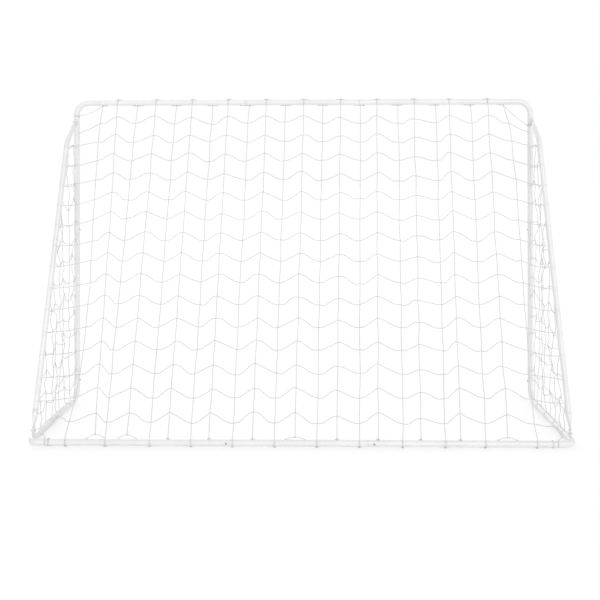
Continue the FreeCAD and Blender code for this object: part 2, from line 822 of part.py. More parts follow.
def disc(name, radius, height, start):
    cylinder = primitive("Cylinder", name, Radius=radius, Height=height)
    put(cylinder, FreeCAD.Rotation(), ZERO, ZERO, start)
    return cylinder


def bolt(name):
    head = hexagon(name + "_head", D["bolt_head_height"], LUG_BACK - D["bolt_head_height"])
    shank = disc(name + "_shank", BOLT_R, BOLT_END - LUG_BACK, LUG_BACK)
    return fused(name, [head, shank])


def washer(name):
    thickness = D["washer_thickness"]
    outer = disc(name + "_disc", D["washer_diameter"] / 2, thickness, FLAT_FACE)
    inner = disc(name + "_eye", BOLT_HOLE_R, thickness, FLAT_FACE)
    return cut(name, outer, inner)


def lock_nut(name):
    outer = hexagon(name + "_hexagon", D["nut_height"], NUT_SEAT)
    thread = disc(name + "_thread", BOLT_R + D["thread_clearance"], D["nut_height"], NUT_SEAT)
    return cut(name, outer, thread)


def fastener_group(label, maker):
    """One fastener at each of the four flattened stay ends, kept as separate solids."""
    singles = []
    for pivot, y, z in PIVOTS:
        name = f"{label}_{pivot}"
        single = maker(name)
        put(single, CROSSWISE, POST_X, y, z)
        singles += [single, mirrored(single, name + "_left")]
    group = doc.addObject("Part::Compound", label)
    group.Label = label
    group.Links = singles
    return group


# ---------------------------------------------------------------- net panels


def back_net():
    """Sloping panel from just behind the crossbar down to just above the rear bar."""
    body = new_body("back_net")
    half = POST_X - TUBE_R - D["net_clearance"]
    top_y = FRONT_Y + TUBE_R + D["net_clearance"]
    low_z = D["tube_diameter"] + D["net_clearance"]
    thickness = D["net_thickness"]
    section = new_sketch(body, "YZ_Plane", -half)
    outline(
        section,
        (
            (top_y, TOP_Z),
            (REAR_Y, low_z),
            (REAR_Y + thickness, low_z),
            (top_y + thickness, TOP_Z),
        ),
    )
    pad(body, section, half * 2)
    return body


def side_net():
    """Upright panel that fills the side between the post, the stay and the ground rail."""
    body = new_body("right_side_net")
    front = FRONT_Y + TUBE_R + D["net_clearance"]
    low_z = D["tube_diameter"] + D["net_clearance"]
    panel = new_sketch(body, "YZ_Plane", POST_X - D["net_thickness"] / 2)
    outline(
        panel,
        (
            (front, GROUND_Z + D["foot_bend"]),
            (FRONT_Y + D["foot_bend"], low_z),
            (LOW_PIVOT_Y - D["side_net_foot_margin"], low_z),
            (KNEE_Y - D["side_net_knee_back"], KNEE_Z - D["side_net_knee_drop"]),
            (front, TOP_PIVOT_Z - D["side_net_top_margin"]),
        ),
    )
    pad(body, panel, D["net_thickness"])
    return body


# ---------------------------------------------------------------- build and write


def build():
    """Make every piece and return the ones that are written out."""
    pieces = [
        centre_bar("crossbar_centre_tube", FRONT_Y, TOP_Z, (0, 0, -1)),
        centre_bar("rear_bar_centre_tube", REAR_Y, GROUND_Z, (0, 1, 0)),
        back_net(),
    ]
    handed = [corner_tube(), base_tube(), lower_post(), upper_stay(), lower_stay()]
    handed.append(side_net())
    for joint, where, outward, inside in SLIP_JOINTS:
        rotation = joint_rotation(outward, inside)
        handed.append(snap_button(f"right_{joint}_button", where, rotation))
        handed.append(leaf_spring(f"right_{joint}_spring", where, rotation))
    for thing in handed:
        pieces.append(thing)
        pieces.append(mirrored(thing, thing.Label.replace("right_", "left_")))
    pieces.append(fastener_group("stay_bolts", bolt))
    pieces.append(fastener_group("stay_washers", washer))
    pieces.append(fastener_group("stay_nuts", lock_nut))
    doc.recompute()
    return pieces


def check_document():
    for thing in doc.Objects:
        if "Invalid" in thing.State or "Error" in thing.State:
            raise RuntimeError(f"{thing.Label}: {thing.State}")


def write(pieces):
    os.makedirs("parts", exist_ok=True)
    for piece in pieces:
        shape = piece.Shape
        if shape.isNull() or not shape.isValid() or not shape.Solids:
            raise RuntimeError(f"{piece.Label}: no valid solid")
    for piece in pieces:
        piece.Shape.exportStep(f"parts/{piece.Label}.step")
        print(piece.Label, len(piece.Shape.Solids), round(piece.Shape.Volume, 1))


PIECES = build()
check_document()
write(PIECES)
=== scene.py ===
"""A small soccer goal: slip-jointed painted tube, a knotted cord net and its steel hardware.

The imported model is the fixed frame.  This script dresses its nodes, and ties the net that
stands for the three net panels, with the lashings that hold it to the tubes.  All lengths are
in metres: +Z is up, the mouth of the goal faces -Y and "right" is +X.
"""

import bpy
import json
import logging
import math
import random
from collections.abc import Iterable, Mapping, Sequence
from dataclasses import dataclass, field
from enum import Enum
from typing import Any

import numpy as np
from mathutils import Matrix, Vector


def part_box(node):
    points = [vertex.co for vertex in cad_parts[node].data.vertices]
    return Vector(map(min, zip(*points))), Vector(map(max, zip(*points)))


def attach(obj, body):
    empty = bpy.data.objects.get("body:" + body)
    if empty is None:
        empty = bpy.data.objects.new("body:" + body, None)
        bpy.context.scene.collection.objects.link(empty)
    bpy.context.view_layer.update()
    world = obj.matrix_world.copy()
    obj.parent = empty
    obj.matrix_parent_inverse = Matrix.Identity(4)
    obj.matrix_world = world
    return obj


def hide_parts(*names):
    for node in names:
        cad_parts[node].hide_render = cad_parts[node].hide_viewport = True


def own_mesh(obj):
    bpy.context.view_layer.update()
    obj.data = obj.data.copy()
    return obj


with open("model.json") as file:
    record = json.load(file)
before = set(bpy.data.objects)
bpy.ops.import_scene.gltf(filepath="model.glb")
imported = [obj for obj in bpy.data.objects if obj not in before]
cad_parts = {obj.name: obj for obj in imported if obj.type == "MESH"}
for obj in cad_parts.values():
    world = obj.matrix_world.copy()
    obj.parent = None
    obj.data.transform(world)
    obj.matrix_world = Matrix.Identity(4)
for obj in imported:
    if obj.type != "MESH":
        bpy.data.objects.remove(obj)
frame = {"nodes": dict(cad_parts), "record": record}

LOG = logging.getLogger("soccer_goal")
FULL_TURN = 2 * math.pi
BODY = "frame"
RUN_MAP = "cord_run"
ACROSS, BACKWARDS, UPWARDS = np.eye(3)
SAME_PLACE = 1e-7
NO_TURN = 1e-18
NEARLY_ALONG = 0.3
LOOP_STEPS = 12

Material = bpy.types.Material
Point = np.ndarray
Colour = tuple[float, float, float, float]


class Side(Enum):
    """The two mirrored halves of the goal."""

    RIGHT = 1
    LEFT = -1

    @property
    def word(self) -> str:
        """The prefix of this side's pieces."""
        return self.name.lower()


class Slot(Enum):
    """The record's material slots."""

    PAINT = "white_paint"
    CORD = "net_cord"
    BUTTON = "button_steel"
    SPRING = "spring_steel"
    ZINC = "zinc_steel"


# ---- shader helpers


class Channel:
    """A shader socket whose number takes part in arithmetic.

    Args:
        graph: The graph that the socket belongs to.
        socket: An output socket of one of its nodes, or None for a closing node.
    """

    def __init__(self, graph: "Graph", socket: bpy.types.NodeSocket | None) -> None:
        """Keeps the socket and its graph."""
        self.graph = graph
        self.socket = socket

    def _math(self, operation: str, *values: "Channel | float") -> "Channel":
        """Adds one Math node."""
        return self.graph.node("ShaderNodeMath", {"operation": operation}, dict(enumerate(values)))

    def __add__(self, other: "Channel | float") -> "Channel":
        """Sum."""
        return self._math("ADD", self, other)

    __radd__ = __add__

    def __sub__(self, other: "Channel | float") -> "Channel":
        """Difference."""
        return self._math("SUBTRACT", self, other)

    def __rsub__(self, other: "Channel | float") -> "Channel":
        """Difference, the other way round."""
        return self._math("SUBTRACT", other, self)

    def __mul__(self, other: "Channel | float") -> "Channel":
        """Product."""
        return self._math("MULTIPLY", self, other)

    __rmul__ = __mul__

    def __truediv__(self, other: "Channel | float") -> "Channel":
        """Quotient."""
        return self._math("DIVIDE", self, other)

    def __abs__(self) -> "Channel":
        """Size without sign."""
        return self._math("ABSOLUTE", self)

    def cosine(self) -> "Channel":
        """Cosine of an angle in radians."""
        return self._math("COSINE", self)

    def between(self, low: float, high: float) -> "Channel":
        """Runs smoothly from 0 at low to 1 at high, and stays there.

        Args:
            low: The value that gives 0.
            high: The value that gives 1.

        Returns:
            The mask.
        """
        return self.graph.node(
            "ShaderNodeMapRange",
            {"interpolation_type": "SMOOTHSTEP"},
            {"Value": self, "From Min": low, "From Max": high},
        )

    def blend(self, low: "Channel | Colour", high: "Channel | Colour") -> "Channel":
        """Mixes two colours with this channel as the share of the second.

        Args:
            low: The colour where the channel is 0.
            high: The colour where the channel is 1.

        Returns:
            The mixed colour.
        """
        return self.graph.node(
            "ShaderNodeMix", {"data_type": "RGBA"}, {0: self, 6: low, 7: high}, output=2
        )


class Graph:
    """A node tree that is filled by method calls.

    Args:
        tree: The node tree of a material or a world.
    """

    def __init__(self, tree: bpy.types.NodeTree) -> None:
        """Empties the tree."""
        self.tree = tree
        self.tree.nodes.clear()

    def node(
        self,
        kind: str,
        settings: Mapping[str, Any] | None = None,
        sockets: Mapping[str | int, Any] | None = None,
        output: str | int = 0,
    ) -> Channel:
        """Adds a node.

        Args:
            kind: The node's type name.
            settings: Its properties, set first.
            sockets: Values or channels for its inputs, by name or number.
            output: The output that is handed back.

        Returns:
            The chosen output.
        """
        made = self.tree.nodes.new(kind)
        for name, value in (settings or {}).items():
            setattr(made, name, value)
        for name, value in (sockets or {}).items():
            if isinstance(value, Channel):
                self.tree.links.new(value.socket, made.inputs[name])
            else:
                made.inputs[name].default_value = value
        return Channel(self, made.outputs[output] if made.outputs else None)

    def place(self) -> Channel:
        """The point on the object, which for these pieces is the point in the row frame."""
        return self.node("ShaderNodeTexCoord", output="Object")

    def along(self, axis: str, point: Channel) -> Channel:
        """One coordinate of a point."""
        return self.node("ShaderNodeSeparateXYZ", None, {0: point}, output=axis)

    def noise(
        self, point: Channel, scale: float, detail: float = 2.0, rough: float = 0.5
    ) -> Channel:
        """Fractal noise.

        Args:
            point: Where it is read.
            scale: Features per metre.
            detail: Octaves.
            rough: How strong the finer octaves are.

        Returns:
            A value around one half.
        """
        sockets = {"Vector": point, "Scale": scale, "Detail": detail, "Roughness": rough}
        return self.node("ShaderNodeTexNoise", None, sockets)

    def stretched(self, point: Channel, factors: tuple[float, float, float]) -> Channel:
        """A point with its coordinates multiplied, so that a pattern runs one way."""
        return self.node("ShaderNodeVectorMath", {"operation": "MULTIPLY"}, {0: point, 1: factors})

    def bump(self, height: Channel, distance: float, strength: float = 1.0) -> Channel:
        """A normal bent by a height.

        Args:
            height: The height field.
            distance: Metres that a height of 1 stands for.
            strength: Share of the effect.

        Returns:
            The normal.
        """
        sockets = {"Strength": strength, "Distance": distance, "Height": height}
        return self.node("ShaderNodeBump", None, sockets)

    def surface(self, **sockets: Any) -> None:
        """Closes the tree with a Principled surface; underscores in names stand for spaces."""
        named = {name.replace("_", " "): value for name, value in sockets.items()}
        shader = self.node("ShaderNodeBsdfPrincipled", None, named)
        self.node("ShaderNodeOutputMaterial", None, {"Surface": shader})


def new_object(name: str, data: bpy.types.ID) -> bpy.types.Object:
    """An object with its data, linked into the scene.

    Args:
        name: Its name.
        data: Its mesh, light or camera.

    Returns:
        The object.
    """
    made = bpy.data.objects.new(name, data)
    bpy.context.scene.collection.objects.link(made)
    return made


def new_material(name: str) -> tuple[Material, Graph]:
    """An empty node material and its graph.

    Args:
        name: Its name.

    Returns:
        The material and the graph that fills it.
    """
    material = bpy.data.materials.new(name)
    material.use_nodes = True
    return material, Graph(material.node_tree)


# ---- finishes


def shade(value: float, warmth: float = 0.0) -> Colour:
    """A near-neutral colour.

    Args:
        value: Its brightness.
        warmth: How much red is added and blue is taken.

    Returns:
        The colour.
    """
    return (value * (1 + warmth), value, value * (1 - warmth), 1.0)


@dataclass(frozen=True)
class PaintFinish:
    """White powder coat on steel tube, rubbed at the slip joints and dusty near the ground."""

    name: str = "white_powder_coat"
    clean: float = 0.79
    dull: float = 0.75
    rubbed: float = 0.60
    dust: float = 0.62
    roughness: float = 0.34
    seam_x: float = 0.225
    seam_heights: tuple[float, float] = (0.662, 0.101)
    seam_spread: float = 0.010
    dust_height: float = 0.016
    cloud_scale: float = 7.0
    scuff_scale: tuple[float, float, float] = (40.0, 40.0, 160.0)
    speck_scale: float = 260.0
    dust_scale: float = 90.0
    peel_scales: tuple[float, float] = (700.0, 160.0)
    peel_depth: float = 0.00012

    def build(self) -> Material:
        """Makes the material.

        Returns:
            The material.
        """
        material, graph = new_material(self.name)
        point = graph.place()
        x, z = graph.along("X", point), graph.along("Z", point)
        cloud = graph.noise(point, self.cloud_scale, 4.0).between(0.35, 0.65)
        scuff = graph.noise(graph.stretched(point, self.scuff_scale), 1.0, 5.0, 0.65)
        speck = graph.noise(point, self.speck_scale, 3.0, 0.6)
        rub = self._near_seams(x, z) * scuff.between(0.46, 0.62)
        grit = graph.noise(point, self.dust_scale, 4.0).between(0.42, 0.66)
        dust = (1 - z.between(0.0, self.dust_height)) * grit
        colour = cloud.blend(shade(self.dull, 0.004), shade(self.clean))
        colour = (rub * 0.7).blend(colour, shade(self.rubbed, -0.01))
        colour = (dust * 0.55).blend(colour, shade(self.dust, 0.05))
        colour = (speck.between(0.70, 0.76) * 0.5).blend(colour, shade(self.rubbed))
        fine, broad = (graph.noise(point, scale, 2.0) for scale in self.peel_scales)
        graph.surface(
            Base_Color=colour,
            Roughness=self.roughness + 0.12 * cloud + 0.25 * rub + 0.3 * dust,
            Coat_Weight=0.35 - 0.3 * dust,
            Coat_Roughness=0.18,
            Specular_IOR_Level=0.5,
            Normal=graph.bump(fine + broad * 0.8, self.peel_depth, 0.5),
        )
        return material

    def _near_seams(self, x: Channel, z: Channel) -> Channel:
        """A mask that is 1 at the slip joints of the bars and the posts.

        Args:
            x: Place across the goal.
            z: Height.

        Returns:
            The mask.
        """
        near = 1 - abs(abs(x) - self.seam_x).between(0.0, self.seam_spread)
        for height in self.seam_heights:
            near = near + (1 - abs(z - height).between(0.0, self.seam_spread))
        return near


@dataclass(frozen=True)
class CordFinish:
    """Two-ply twisted cord: painted shade between the plies, with fine yarn lines and loose fibre.
    """

    name: str
    light: float
    # The painted shade between the plies; random patches of tone also darken towards it.
    ply_shade_and_patch: float
    plies: int = 2
    yarns: int = 7
    lay: float = 0.018
    yarn_lay: float = 0.33
    fuzz_scale: float = 2600.0
    patch_scale: float = 11.0
    relief: float = 0.00035

    def build(self) -> Material:
        """Makes the material.

        Returns:
            The material.
        """
        material, graph = new_material(self.name)
        run = graph.node("ShaderNodeUVMap", {"uv_map": RUN_MAP})
        around, length = graph.along("X", run), graph.along("Y", run)
        lay_angle = (around - length / self.lay) * FULL_TURN
        ply = (lay_angle * self.plies).cosine() * 0.5 + 0.5
        yarn_angle = (around * self.yarns + length / (self.lay * self.yarn_lay)) * FULL_TURN
        yarn = yarn_angle.cosine() * 0.5 + 0.5
        point = graph.place()
        fuzz = graph.noise(point, self.fuzz_scale, 3.0, 0.7)
        patches = graph.noise(point, self.patch_scale, 3.0)
        # Painted shade: the colour runs to the darker value where the plies and yarns meet, as
        # shade in the grooves.
        depth = (ply.between(0.0, 0.55) * 0.75 + yarn * 0.25) * (0.75 + 0.5 * fuzz)
        colour = depth.between(0.1, 0.95).blend(shade(self.ply_shade_and_patch), shade(self.light))
        # Random patches of darker, warmer tone, mixed towards the same value as the painted ply
        # shade.
        colour = (patches.between(0.45, 0.75) * 0.30).blend(colour, shade(self.ply_shade_and_patch, 0.02))
        graph.surface(
            Base_Color=colour,
            Roughness=0.72 + 0.2 * fuzz,
            Sheen_Weight=0.25,
            Sheen_Roughness=0.5,
            Specular_IOR_Level=0.25,
            Normal=graph.bump(ply * 0.7 + yarn * 0.3 + fuzz * 0.35, self.relief, 0.8),
        )
        return material


@dataclass(frozen=True)
class SteelFinish:
    """Bare or plated steel with fine drawn lines, stains and a slightly uneven gloss."""

    name: str
    bright: float
    stained: float
    roughness: float
    warmth: float = 0.0
    lines: tuple[float, float, float] = (300.0, 2400.0, 2400.0)
    stain_scale: float = 180.0
    relief: float = 0.00005

    def build(self) -> Material:
        """Makes the material.

        Returns:
            The material.
        """
        material, graph = new_material(self.name)
        point = graph.place()
        drawn = graph.noise(graph.stretched(point, self.lines), 1.0, 3.0, 0.6)
        stain = graph.noise(point, self.stain_scale, 5.0, 0.65).between(0.48, 0.70)
        colour = stain.blend(shade(self.bright, self.warmth), shade(self.stained, self.warmth))
        graph.surface(
            Base_Color=colour,
            Metallic=1.0 - 0.25 * stain,
            Roughness=self.roughness + 0.18 * drawn + 0.15 * stain,
            Normal=graph.bump(drawn, self.relief, 0.6),
        )
        return material


@dataclass(frozen=True)
class FloorFinish:
    """Smooth pale studio floor."""

    name: str = "studio_floor"
    value: float = 0.50
    glow: float = 0.50

    def build(self) -> Material:
        """Makes the material.

        Returns:
            The material.
        """
        material, graph = new_material(self.name)
        cloud = graph.noise(graph.place(), 0.8, 3.0)
        graph.surface(
            Base_Color=cloud.between(0.3, 0.7).blend(shade(self.value - 0.01), shade(self.value)),
            Roughness=0.9,
            Specular_IOR_Level=0.1,
            Emission_Color=shade(1.0),
            Emission_Strength=self.glow,
        )
        return material


# ---- cord geometry


def row(*values: float) -> Point:
    """A point from its coordinates."""
    return np.array(values, float)


def unit(vector: Point) -> Point:
    """The vector at length 1."""
    return vector / np.linalg.norm(vector)


def smooth_through(points: Sequence[Point], spans: int = 10) -> np.ndarray:
    """A Catmull-Rom line through points.

    Args:
        points: The points, in order.
        spans: Pieces between neighbours.

    Returns:
        The finer line.
    """
    known = np.array(points)
    known = np.vstack([2 * known[0] - known[1], known, 2 * known[-1] - known[-2]])
    share = np.linspace(0, 1, spans, endpoint=False)[:, None]
    a, b, c, d = (known[i : len(known) - 3 + i, None, :] for i in range(4))
    square, cube = 2 * a - 5 * b + 4 * c - d, 3 * b - a - 3 * c + d
    curve = 0.5 * (2 * b + (c - a) * share + square * share**2 + cube * share**3)
    return np.vstack([curve.reshape(-1, 3), known[-2]])


def gaps(line: np.ndarray) -> np.ndarray:
    """The distances between a line's neighbouring points."""
    return np.linalg.norm(np.diff(line, axis=0), axis=1)


def distances(line: np.ndarray) -> np.ndarray:
    """How far along a line each of its points is."""
    return np.concatenate([[0.0], np.cumsum(gaps(line))])


def evenly(line: np.ndarray, step: float) -> np.ndarray:
    """The same line with its points about one step apart.

    Args:
        line: The line.
        step: The distance wanted.

    Returns:
        The new line.
    """
    line = line[np.concatenate([[True], gaps(line) > SAME_PLACE])]
    far = distances(line)
    places = np.linspace(0, far[-1], max(3, round(far[-1] / step) + 1))
    return np.stack([np.interp(places, far, line[:, i]) for i in range(3)], 1)


@dataclass(frozen=True)
class Twine:
    """The section of a twisted cord."""

    radius: float
    step: float = 0.003
    lay: float = 0.018
    ply_depth: float = 0.16
    plies: int = 2
    sides: int = 6


class CordMesh:
    """Collects swept cords, knots and loops, and makes one mesh object of them.

    Args:
        name: The piece's name.
    """

    end_taper = 0.55
    knot_steps = 9
    knot_reach = 1.55
    knot_pitch = 1.9
    knot_thickness = 0.9
    knot_stride = 1.3

    def __init__(self, name: str) -> None:
        """Starts with no cords."""
        self.name = name
        self.points: list[np.ndarray] = []
        self.faces: list[list[int]] = []
        self.maps: list[np.ndarray] = []
        self.count = 0

    def sweep(self, line: np.ndarray, twine: Twine) -> None:
        """Adds a cord along a line, with its plies laid round it and rounded ends.

        Args:
            line: The centreline.
            twine: The cord's section.
        """
        line = evenly(line, twine.step)
        heading = np.gradient(line, axis=0)
        heading /= np.linalg.norm(heading, axis=1)[:, None]
        side = self._turned_least(line, heading)
        other = np.cross(heading, side)
        far = distances(line)
        angle = np.arange(twine.sides) * FULL_TURN / twine.sides
        lobe = 1 + twine.ply_depth * np.cos(
            twine.plies * (angle[None, :] - FULL_TURN * far[:, None] / twine.lay)
        )
        taper = np.ones(len(line))
        taper[[0, -1]] = self.end_taper
        reach = twine.radius * lobe * taper[:, None]
        ring = (
            line[:, None, :]
            + reach[:, :, None] * np.cos(angle)[None, :, None] * side[:, None, :]
            + reach[:, :, None] * np.sin(angle)[None, :, None] * other[:, None, :]
        )
        self._join(ring, far)

    @staticmethod
    def _turned_least(line: np.ndarray, heading: np.ndarray) -> np.ndarray:
        """Side vectors that turn round the line as little as they can.

        Args:
            line: The points of the centreline.
            heading: Its direction at each.

        Returns:
            A unit vector for each point.
        """
        start = np.cross(heading[0], ACROSS)
        if np.linalg.norm(start) < NEARLY_ALONG:
            start = np.cross(heading[0], BACKWARDS)
        sides = np.empty_like(line)
        sides[0] = unit(start)
        for i in range(len(line) - 1):
            chord = line[i + 1] - line[i]
            size = chord @ chord
            carried = sides[i] - 2 / size * (chord @ sides[i]) * chord
            ahead = heading[i] - 2 / size * (chord @ heading[i]) * chord
            turn = heading[i + 1] - ahead
            size = turn @ turn
            if size > NO_TURN:
                carried = carried - 2 / size * (turn @ carried) * turn
            sides[i + 1] = carried
        return sides

    def _join(self, ring: np.ndarray, far: np.ndarray) -> None:
        """Adds the faces and the running map of one cord.

        Args:
            ring: The points of its surface, ring by ring.
            far: How far along the cord each ring is.
        """
        length, sides = ring.shape[:2]
        around = np.arange(sides)
        i, j = np.meshgrid(np.arange(length - 1), around, indexing="ij")
        corners = ((i, j), (i, j + 1), (i + 1, j + 1), (i + 1, j))
        quads = np.stack([at * sides + turn % sides for at, turn in corners], -1)
        maps = np.stack([np.stack([turn / sides, far[at]], -1) for at, turn in corners], -2)
        first, last = around[::-1], (length - 1) * sides + around
        self.faces.extend((quads.reshape(-1, 4) + self.count).tolist())
        self.faces.extend([(first + self.count).tolist(), (last + self.count).tolist()])
        flat = np.stack([around / sides, np.zeros(sides)], -1)
        self.maps += [maps.reshape(-1, 2), flat[::-1], flat + row(0, far[-1])]
        self.points.append(ring.reshape(-1, 3))
        self.count += length * sides

    def knot(
        self, centre: Point, along: Point, across: Point, twine: Twine, turns: float = 1.75
    ) -> None:
        """Adds a tight knot: turns of cord round the cord that it grips.

        Args:
            centre: The crossing.
            along: Direction of the gripped cord.
            across: Direction in which the knot's own cord leaves.
            twine: The cord's section.
            turns: How often it goes round.
        """
        along = unit(along)
        out = unit(np.cross(along, across))
        flat = np.cross(out, along)
        share = np.linspace(0, 1, round(self.knot_steps * turns) + 1)
        angle = share * turns * FULL_TURN
        reach = twine.radius * self.knot_reach
        coil = (
            centre
            + (reach * np.cos(angle))[:, None] * flat
            + (reach * np.sin(angle))[:, None] * out
            + ((share - 0.5) * turns * twine.radius * self.knot_pitch)[:, None] * along
        )
        thickness, step = twine.radius * self.knot_thickness, twine.radius * self.knot_stride
        self.sweep(coil, Twine(thickness, step, twine.lay, ply_depth=0.05, sides=5))

    def finish(self, material: Material, replaces: Iterable[str] = ()) -> bpy.types.Object:
        """Makes the object, which rides on the frame.

        Args:
            material: Its finish.
            replaces: CAD nodes that it stands for.

        Returns:
            The object.
        """
        mesh = bpy.data.meshes.new(self.name)
        mesh.from_pydata(np.vstack(self.points).tolist(), [], self.faces)
        layer = mesh.uv_layers.new(name=RUN_MAP)
        layer.data.foreach_set("uv", np.vstack(self.maps).ravel())
        mesh.polygons.foreach_set("use_smooth", [True] * len(mesh.polygons))
        mesh.materials.append(material)
        piece = new_object(self.name, mesh)
        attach(piece, BODY)
        for node in replaces:
            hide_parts(node)
        LOG.info("%s: %d faces", self.name, len(mesh.polygons))
        return piece


@dataclass(frozen=True)
class TubeRun:
    """A straight stretch of tube that cords go round.

    Attributes:
        start: One end of the centreline.
        end: The other end.
        facing: The direction of angle 0 round the tube.
        radius: Its outside radius.
    """

    start: Point
    end: Point
    facing: Point
    radius: float

    @property
    def axis(self) -> Point:
        """Direction of the run."""
        return unit(self.end - self.start)

    def at_height(self, height: float) -> float:
        """The distance along the run where the centreline is at that height."""
        return (height - self.start[2]) / self.axis[2]

    def around(self, distance: float, angle: float, gap: float) -> Point:
        """A point beside the tube.

        Args:
            distance: How far along the run.
            angle: Degrees round it from the facing direction.
            gap: How far off the outside.

        Returns:
            The point.
        """
        turned = math.radians(angle)
        square = np.cross(self.axis, self.facing)
        out = math.cos(turned) * self.facing + math.sin(turned) * square
        return self.start + distance * self.axis + (self.radius + gap) * out

    def loop(
        self, distance: float, angle: float, gap: float, turns: float, advance: float
    ) -> list[Point]:
        """Turns round the tube.

        Args:
            distance: How far along the run they begin.
            angle: Where they begin, in degrees from the facing direction.
            gap: How far off the outside.
            turns: How many, negative for the other way round.
            advance: How far they move along with each turn.

        Returns:
            Their points.
        """
        steps = max(2, round(abs(turns) * LOOP_STEPS))
        shares = [i / steps * turns for i in range(steps + 1)]
        return [self.around(distance + advance * s, angle + 360 * s, gap) for s in shares]


# ---- the net


@dataclass
class GoalSizes:
    """Where the frame's tubes are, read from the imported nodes, and the stays' own places."""

    stay_radius: float = 0.0095
    stay_foot: tuple[float, float] = (0.25075, 0.038)
    stay_knee: tuple[float, float] = (-0.16025, 1.030)
    stay_lug_height: float = 1.112
    front: float = field(init=False)
    back: float = field(init=False)
    top: float = field(init=False)
    low: float = field(init=False)
    post: float = field(init=False)
    radius: float = field(init=False)

    def __post_init__(self) -> None:
        """Reads the tubes' places."""
        low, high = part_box("crossbar_centre_tube")
        self.front, self.top = (low.y + high.y) / 2, (low.z + high.z) / 2
        self.radius = (high.z - low.z) / 2
        low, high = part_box("rear_bar_centre_tube")
        self.back, self.low = (low.y + high.y) / 2, (low.z + high.z) / 2
        low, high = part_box("right_lower_post")
        self.post = (low.x + high.x) / 2

    def crossbar(self) -> TubeRun:
        """The crossbar, faced to the back of the goal."""
        return self._bar(self.front, self.top)

    def rear_bar(self) -> TubeRun:
        """The rear ground bar, faced to the back of the goal."""
        return self._bar(self.back, self.low)

    def _bar(self, y: float, z: float) -> TubeRun:
        """A bar from post to post, faced to the back of the goal."""
        return TubeRun(row(-self.post, y, z), row(self.post, y, z), BACKWARDS, self.radius)

    def upright(self, side: Side) -> TubeRun:
        """A post, faced to the back of the goal.

        Args:
            side: The side of the goal.

        Returns:
            Its run, from the ground up.
        """
        x = side.value * self.post
        foot, head = row(x, self.front, 0.0), row(x, self.front, self.top)
        return TubeRun(foot, head, BACKWARDS, self.radius)

    def rail(self, side: Side) -> TubeRun:
        """A ground rail, faced upwards.

        Args:
            side: The side of the goal.

        Returns:
            Its run, from the mouth back.
        """
        x = side.value * self.post
        front, back = row(x, self.front, self.low), row(x, self.back, self.low)
        return TubeRun(front, back, UPWARDS, self.radius)

    def stay(self, side: Side) -> TubeRun:
        """The long straight part of a stay, faced to the middle of the goal.

        Args:
            side: The side of the goal.

        Returns:
            Its run, from the foot up.
        """
        x = side.value * self.post
        foot, knee = row(x, *self.stay_foot), row(x, *self.stay_knee)
        return TubeRun(foot, knee, -side.value * ACROSS, self.stay_radius)


@dataclass(frozen=True)
class Bend:
    """How one column leaves the even lie of the others.

    Attributes:
        foot: How far its foot is moved across.
        bow: How far it bows out on its way down.
        power: Above 1 the bow is nearer the foot, below 1 nearer the top.
        kick: How far its last stretch turns across.
    """

    foot: float = 0.0
    bow: float = 0.0
    power: float = 1.0
    kick: float = 0.0


